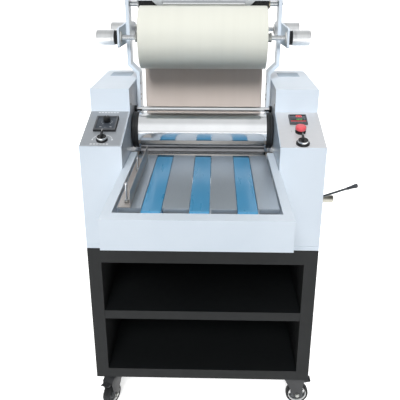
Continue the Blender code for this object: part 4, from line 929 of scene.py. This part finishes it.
def build_bar(node):
    """Chrome guide bar with a turned shoulder and a set screw collar at each end."""
    low, high = box_of(node)
    y, z, r = (low.y + high.y) / 2, (low.z + high.z) / 2, (high.z - low.z) / 2
    half = (high.x - low.x) / 2
    bar = Shape()
    bar.turned([(0.0, -half), (r - 0.0006, -half), (r, -half + 0.0006), (r, half - 0.0006),
                (r - 0.0006, half),
                (0.0, half)], (MID, y, z), "X", BAR_CHROME, 48)
    for side in (-1, 1):
        collar = [(r - 0.0002, half - 0.0075), (r + 0.0022, half - 0.0075), (r + 0.0028, half - 0.0069),
                  (r + 0.0028, half - 0.0006), (r + 0.0022, half - 0.0001), (r - 0.0002, half - 0.0001)]
        bar.turned([(q, side * x) for q, x in collar], (MID, y, z), "X", DARK_METAL, 40, ring=True)
    bar.done(node + "_detail", "machine", [node])


def build_nip_guide():
    """Polished lip with its curled front edge, and the dark block screwed down at each end."""
    low, high = box_of("nip_guide")
    front, top, half = low.y, high.z - 0.0015, 0.1790
    curl = 0.0030
    path = [(front, top - 0.0300)] + arc((front + curl, top - curl), curl, 180, 90, 8) + [(high.y, top)]
    inner = [(high.y, top - 0.0012)] + arc((front + curl, top - curl), curl - 0.0012, 90, 180, 8)
    inner += [(front + 0.0012, top - 0.0300)]
    lip = Shape()
    lip.plate([path + inner], "YZ", MID - half, MID + half, LIP_STEEL, 0.0003)
    lip.done("nip_lip_detail", "machine", ["nip_guide"])
    blocks = Shape()
    for side in (-1, 1):
        x = sorted((MID + side * half, MID + side * 0.2013))
        blocks.block((x[0], front, top - 0.0320), (x[1], 0.1850, top + 0.0012), BLOCK_ZINC, 0.0012, 3)
        blocks.screw((sum(x) / 2, front + 0.0120, top + 0.0012), (0, 0, 1), 0.0036)
    blocks.done("nip_blocks_detail", "machine")


def build_film_roll():
    low, high = box_of("film_roll")
    y, z, r = (low.y + high.y) / 2, (low.z + high.z) / 2, (high.z - low.z) / 2
    half = (high.x - low.x) / 2
    core, wall = 0.0285, 0.0045
    roll = Shape()
    edge = 0.0009
    film = [(core + wall, -half + edge), (r - 0.0010, -half + edge), (r, -half + 0.0018), (r, half - 0.0018),
            (r - 0.0010, half - edge), (core + wall, half - edge)]
    roll.turned(film, (MID, y, z), "X", FILM, 160, ring=True)
    tube = [(core, -half), (core + wall - 0.0002, -half), (core + wall - 0.0002, half), (core, half)]
    roll.turned(tube, (MID, y, z), "X", CARD, 72, ring=True)
    for side in (-1, 1):
        face = [(core + wall, half - 0.0011), (r - 0.0012, half - 0.0011), (r - 0.0012, half - 0.0006),
                (core + wall, half - 0.0006)]
        roll.turned([(q, side * x) for q, x in face], (MID, y, z), "X", FILM_ENDS, 160, ring=True)
    roll.done("film_roll_detail", "supply_spindle", ["film_roll"])


def build_film_web():
    """One sheet of film: straight down from the roll, round the lower bar and forward into the nip."""
    low, high = box_of("film_web")
    bar_low, bar_high = box_of("lower_guide_bar")
    bar = ((bar_low.y + bar_high.y) / 2, (bar_low.z + bar_high.z) / 2)
    radius = (bar_high.z - bar_low.z) / 2 + 0.0005
    nip = (low.y + 0.002, box_of("pressure_roller")[1].z + 0.0006)
    supply = middle_of("film_roll")
    path = [(bar[0] + radius, supply.z)]
    path += [(bar[0] + radius, supply.z - (supply.z - bar[1]) * step / 14) for step in range(1, 14)]
    path += arc(bar, radius, 0, -86, 10)
    last = path[-1]
    path += [(last[0] + (nip[0] - last[0]) * step / 6, last[1] + (nip[1] - last[1]) * step / 6)
             for step in range(1, 7)]
    columns, half = 40, (high.x - low.x) / 2
    solid = bmesh.new()
    rows = []
    for index, (y, z) in enumerate(path):
        row = []
        for column in range(columns + 1):
            x = -half + 2 * half * column / columns
            slack = 0.00025 * math.sin(9.0 * x / half + 2.1 * math.sin(0.35 * index))
            hold = math.sin(math.pi * min(index, 14) / 14)
            row.append(solid.verts.new(Vector((MID + x, y + slack * hold, z)) + ORIGIN))
        rows.append(row)
    for upper, lower in zip(rows, rows[1:]):
        for column in range(columns):
            solid.faces.new((upper[column], lower[column], lower[column + 1], upper[column + 1]))
    mesh = bpy.data.meshes.new("film_web_sheet")
    solid.to_mesh(mesh)
    solid.free()
    mesh.materials.append(WEB)
    mesh.shade_smooth()
    web = bpy.data.objects.new("film_web_sheet", mesh)
    bpy.context.scene.collection.objects.link(web)
    thick = web.modifiers.new("film", "SOLIDIFY")
    thick.thickness = 0.0002
    thick.offset = 0.0
    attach(web, "machine")
    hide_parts("film_web")


# ---------------------------------------------------------------- uprights and winding
def bearing(shape, x, side, y, z, bore):
    """A flanged bearing on the outer or inner face of a bracket."""
    profile = [(bore, 0.0), (0.0155, 0.0), (0.0165, 0.0008), (0.0165, 0.0026), (0.0120, 0.0034),
               (0.0112, 0.0042), (bore + 0.0010, 0.0042), (bore, 0.0036)]
    shape.turned([(r, side * h) for r, h in profile], (x, y, z), "X", NYLON, 48, ring=True)


BRACKET_SHEET = 0.0058


def dress_uprights():
    supply, rewind = middle_of("supply_shaft"), middle_of("rewind_shaft")
    for tag, side in both_sides():
        dress(tag + "_upright", BLUE_PAINT, 0.0012)
        dress(tag + "_shaft_bracket", BLUE_PAINT, 0.0008)
        carriers = Shape()
        for shaft, inner in ((supply, 0.2333), (rewind, 0.2226)):
            bearing(carriers, MID + side * inner, -side, shaft.y, shaft.z, 0.0072)
            carriers.turned([(0.0072, 0.0), (0.0128, 0.0), (0.0128, side * 0.0016), (0.0072, side * 0.0016)],
                            (MID + side * (inner + BRACKET_SHEET), shaft.y, shaft.z), "X", BLACK_PLASTIC, 40,
                            ring=True)
        carriers.done(tag + "_shaft_bearings", "machine")
        fixings = Shape()
        for y in (0.3230, 0.3490):
            for z in (0.5160, 0.5460):
                fixings.bolt((MID + side * (0.2226 + BRACKET_SHEET), y, z), (side, 0, 0), 0.0046)
        up_low, up_high = box_of(tag + "_upright")
        leg_inner = up_high.x if side < 0 else up_low.x
        for z in (0.3440, 0.3580, 0.3900):
            fixings.screw((leg_inner, 0.3200, z), (-side, 0, 0), 0.0034)
        head_outer = up_low.x if side < 0 else up_high.x
        for z in (0.6150, 0.6360):
            fixings.bolt((head_outer, 0.3330, z), (side, 0, 0), 0.0044)
        fixings.done(tag + "_upright_bolts", "machine")


def build_winding_shaft(tag, chucks):
    low, high = box_of(tag + "_shaft")
    y, z = (low.y + high.y) / 2, (low.z + high.z) / 2
    half, r = (high.x - low.x) / 2, 0.0068
    shaft = Shape()
    shaft.turned([(0.0, -half), (r - 0.0006, -half), (r, -half + 0.0006), (r, half - 0.0006),
                  (r - 0.0006, half),
                  (0.0, half)], (MID, y, z), "X", SHAFT_STEEL, 40)
    for side in (-1, 1):
        collar = [(r, 0.1862), (0.0120, 0.1862), (0.0127, 0.1870), (0.0127, 0.1912), (0.0120, 0.1920),
                  (r, 0.1920)]
        shaft.turned([(q, side * x) for q, x in collar], (MID, y, z), "X", BOLT_ZINC, 48, ring=True)
        shaft.screw((MID + side * 0.1891, y, z + 0.0124), (0, 0, 1), 0.0026)
        if chucks:
            cone = [(r, 0.1745), (0.0250, 0.1745), (0.0270, 0.1728), (0.0270, 0.1500), (r, 0.1500)]
            shaft.turned([(q, side * x) for q, x in cone], (MID, y, z), "X", BLACK_PLASTIC, 48, ring=True)
            neck = [(r, 0.1744), (0.0118, 0.1744), (0.0123, 0.1750), (0.0123, 0.1856), (0.0118, 0.1862),
                    (r, 0.1862)]
            shaft.turned([(q, side * x) for q, x in neck], (MID, y, z), "X", BOLT_ZINC, 48, ring=True)
    shaft.done(tag + "_shaft_detail", tag + "_spindle", [tag + "_shaft"])


def build_knob(shaft, tag, side):
    """Tension knob: black friction ring, fine grooves near its rim and a dished, bolted end."""
    name = f"{shaft}_knob_{tag}"
    low, high = box_of(name)
    y, z, r = (low.y + high.y) / 2, (low.z + high.z) / 2, (high.z - low.z) / 2
    inner, end = (low.x, high.x) if side > 0 else (high.x, low.x)
    length = abs(end - inner)
    ring = 0.0068
    knob = Shape()
    knob.turned([(q, side * x) for q, x in
                 [(0.0, 0.0), (0.0188, 0.0), (0.0196, 0.0008), (0.0196, 0.0026), (0.0186, 0.0032),
                  (0.0186, 0.0040), (0.0196, 0.0046), (0.0196, ring - 0.0004), (0.0, ring - 0.0004)]],
                (inner, y, z), "X", BLACK_PLASTIC, 72)
    profile = [(0.0, ring), (r - 0.0008, ring), (r, ring + 0.0008)]
    for groove in range(3):
        at = ring + 0.0040 + groove * 0.0026
        profile += [(r, at), (r - 0.0004, at + 0.0005), (r, at + 0.0010)]
    profile += [(r, length - 0.0014), (r - 0.0014, length), (0.0110, length), (0.0104, length - 0.0010),
                (0.0, length - 0.0010)]
    knob.turned([(q, side * x) for q, x in profile], (inner, y, z), "X", KNOB_METAL, 96)
    knob.screw((end - side * 0.0010, y, z), (side, 0, 0), 0.0018)
    knob.done(name + "_detail", name, [name])


def build_top():
    dress("top_crossbar", BAR_STEEL, 0.0008)
    low, high = box_of("perforator_shaft")
    y, z = (low.y + high.y) / 2, (low.z + high.z) / 2
    half = (high.x - low.x) / 2
    shaft = Shape()
    shaft.turned([(0.0, -half), (0.0064, -half), (0.0070, -half + 0.0006), (0.0070, half - 0.0006),
                  (0.0064, half), (0.0, half)], (MID, y, z), "X", SHAFT_STEEL, 40)
    tube = [(0.0070, -0.1255), (0.0120, -0.1255), (0.0120, 0.1255), (0.0070, 0.1255)]
    shaft.turned(tube, (MID, y, z), "X", BAR_CHROME, 48, ring=True)
    for side in (-1, 1):
        wheel = [(0.0070, 0.1260), (0.0150, 0.1260), (0.0165, 0.1272)]
        for groove in range(8):
            at = 0.1290 + groove * 0.0068
            wheel += [(0.0165, at), (0.0156, at + 0.0006), (0.0156, at + 0.0014), (0.0165, at + 0.0020)]
        wheel += [(0.0165, 0.1838), (0.0150, 0.1850), (0.0070, 0.1850)]
        shaft.turned([(r, side * x) for r, x in wheel], (MID, y, z), "X", RUBBER, 64, ring=True)
        collar = [(0.0070, 0.1852), (0.0108, 0.1852), (0.0110, 0.1860), (0.0110, 0.1884), (0.0104, 0.1890),
                  (0.0070, 0.1890)]
        shaft.turned([(r, side * x) for r, x in collar], (MID, y, z), "X", NYLON if side < 0 else BEIGE_NYLON,
                     40, ring=True)
    shaft.done("perforator_detail", "perforator", ["perforator_shaft"])
    bar_low, bar_high = box_of("top_crossbar")
    fixings = Shape()
    for x in (-0.200, -0.132, 0.132, 0.200):
        fixings.bolt((MID + x, bar_low.y + (0.0036 if abs(x) > 0.15 else 0.0), bar_high.z - 0.0120),
                     (0, -1, 0),
                     0.0040)
    fixings.done("crossbar_bolts", "machine")


def build_lever():
    hub = place_of("pressure_lever_turn")
    low, high = box_of("pressure_lever")
    outside = 0.3153
    lever = Shape()
    lever.turned([(0.0, outside), (0.0104, outside), (0.0107, outside + 0.0008), (0.0107, 0.3848),
                  (0.0096, 0.3865), (0.0042, 0.3865), (0.0040, 0.3850), (0.0, 0.3850)], (0, hub.y, hub.z),
                  "X",
                 HUB_SATIN, 56)
    lever.turned([(0.0, 0.2120), (0.0138, 0.2120), (0.0140, 0.2230), (0.0060, 0.2232), (0.0060, outside),
                  (0.0, outside)], (0, hub.y, hub.z), "X", SHAFT_STEEL, 40)
    lever.screw((0.3620, hub.y, hub.z + 0.0104), (0, 0, 1), 0.0030)
    start = Vector((0.3350, hub.y, hub.z))
    end = Vector((high.x - 0.0040, low.y + 0.0050, high.z - 0.0050))
    along = end - start
    grip = start + along * 0.76
    lever.turned([(0.0, 0.0), (0.0046, 0.0), (0.0046, 0.0125), (0.0034, 0.0135), (0.0032, 0.0150),
                  (0.0032, along.length * 0.78), (0.0, along.length * 0.78)], start, along, ROD_GREY, 32)
    size = along.length * 0.24
    lever.turned([(0.0, 0.0), (0.0036, 0.0), (0.0042, 0.0008), (0.0046, size * 0.4), (0.0058, size * 0.75),
                  (0.0066, size * 0.92), (0.0060, size * 0.985), (0.0044, size), (0.0, size)], grip, along,
                 GRIP_PLASTIC, 40)
    lever.done("pressure_lever_detail", "pressure_lever", ["pressure_lever"], angle=40)


# ---------------------------------------------------------------- floor, light and camera
def build_stage():
    """A plain pale floor. Diffuse light skips it, so that undersides stay darker than the tops."""
    mesh = bpy.data.meshes.new("floor")
    grid = bmesh.new()
    bmesh.ops.create_grid(grid, x_segments=1, y_segments=1, size=60.0)
    grid.to_mesh(mesh)
    grid.free()
    floor = bpy.data.objects.new("floor", mesh)
    bpy.context.scene.collection.objects.link(floor)
    pale = Finish("pale_floor", "f4f4f4", 0.9, Emission_Strength=0.75)
    pale.shader.inputs["Emission Color"].default_value = pale.colour
    mesh.materials.append(pale.material)
    floor.visible_diffuse = False
    mesh = bpy.data.meshes.new("backdrop")
    dome = bmesh.new()
    bmesh.ops.create_uvsphere(dome, u_segments=48, v_segments=24, radius=55.0)
    dome.to_mesh(mesh)
    dome.free()
    backdrop = bpy.data.objects.new("backdrop", mesh)
    bpy.context.scene.collection.objects.link(backdrop)
    mesh.materials.append(glow("pale_backdrop", "fbfbfb", 1.0))
    for ray in ("diffuse", "glossy", "transmission", "shadow"):
        setattr(backdrop, "visible_" + ray, False)


def build_light():
    """A pale room, darker to the sides and below, with a soft key light that leaves no glints."""
    world = bpy.data.worlds.new("studio")
    bpy.context.scene.world = world
    world.use_nodes = True
    tree = world.node_tree

    def add(kind, **values):
        made = tree.nodes.new("ShaderNode" + kind)
        for name, value in values.items():
            if isinstance(value, bpy.types.NodeSocket):
                tree.links.new(value, made.inputs[name.replace("_", " ")])
            else:
                made.inputs[name.replace("_", " ")].default_value = value
        return made

    way = add("SeparateXYZ", Vector=add("TexCoord").outputs["Generated"])
    height = add("MapRange", Value=way.outputs["Z"], **{"From_Min": -1.0})
    ramp = add("ValToRGB", Fac=height.outputs["Result"])
    stops = [(0.0, 0.04), (0.42, 0.07), (0.50, 0.55), (0.60, 0.95), (0.84, 0.95), (0.95, 0.66)]
    elements = ramp.color_ramp.elements
    while len(elements) < len(stops):
        elements.new(0.5)
    for element, (where, value) in zip(elements, stops):
        element.position = where
        element.color = (value, value * 1.005, value * 1.01, 1.0)
    squared = add("Math")
    squared.operation = "MULTIPLY"
    tree.links.new(way.outputs["X"], squared.inputs[0])
    tree.links.new(way.outputs["X"], squared.inputs[1])
    sides = add("MapRange", Value=squared.outputs[0], **{"From_Max": 0.22, "To_Min": 1.0, "To_Max": 0.04})
    dimmed = tree.nodes.new("ShaderNodeVectorMath")
    dimmed.operation = "SCALE"
    tree.links.new(ramp.outputs["Color"], dimmed.inputs[0])
    tree.links.new(sides.outputs["Result"], dimmed.inputs["Scale"])
    background = tree.nodes["Background"]
    tree.links.new(dimmed.outputs["Vector"], background.inputs["Color"])
    background.inputs["Strength"].default_value = 1.15
    for name, direction, strength, angle in (("key", (0.08, 1.0, -0.72), 2.6, 20),
                                             ("back", (0.0, -1.0, -0.45), 0.9, 40)):
        light = bpy.data.lights.new(name, "SUN")
        light.energy = strength
        light.angle = math.radians(angle)
        holder = bpy.data.objects.new(name, light)
        holder.rotation_euler = Vector(direction).to_track_quat("-Z", "Y").to_euler()
        holder.visible_glossy = False
        bpy.context.scene.collection.objects.link(holder)


def build_camera():
    """A moderate telephoto lens in front of the machine, looking down on the feed table."""
    data = bpy.data.cameras.new("camera")
    data.sensor_width = 36.0
    data.lens = 52.36
    camera = bpy.data.objects.new("camera", data)
    camera.location = Vector((0.0331, -1.4169, 0.7118)) + ORIGIN
    camera.rotation_euler = (math.radians(68.197), 0.0, math.radians(1.576))
    bpy.context.scene.collection.objects.link(camera)
    bpy.context.scene.camera = camera


build_camera()
build_stage()
build_light()
bpy.context.scene.view_settings.view_transform = "Standard"

dress_cabinet()
for caster in CASTER_NAMES:
    build_caster(caster)
build_caster_fixings()
dress_body()
dress_panels()
dress_table()
build_heated_roller()
build_pressure_roller()
build_bar("upper_guide_bar")
build_bar("lower_guide_bar")
build_nip_guide()
build_film_roll()
build_film_web()
dress_uprights()
build_winding_shaft("supply", True)
build_winding_shaft("rewind", False)
for shaft_name in ("supply", "rewind"):
    for tag_name, side_sign in both_sides():
        build_knob(shaft_name, tag_name, side_sign)
build_top()
build_lever()
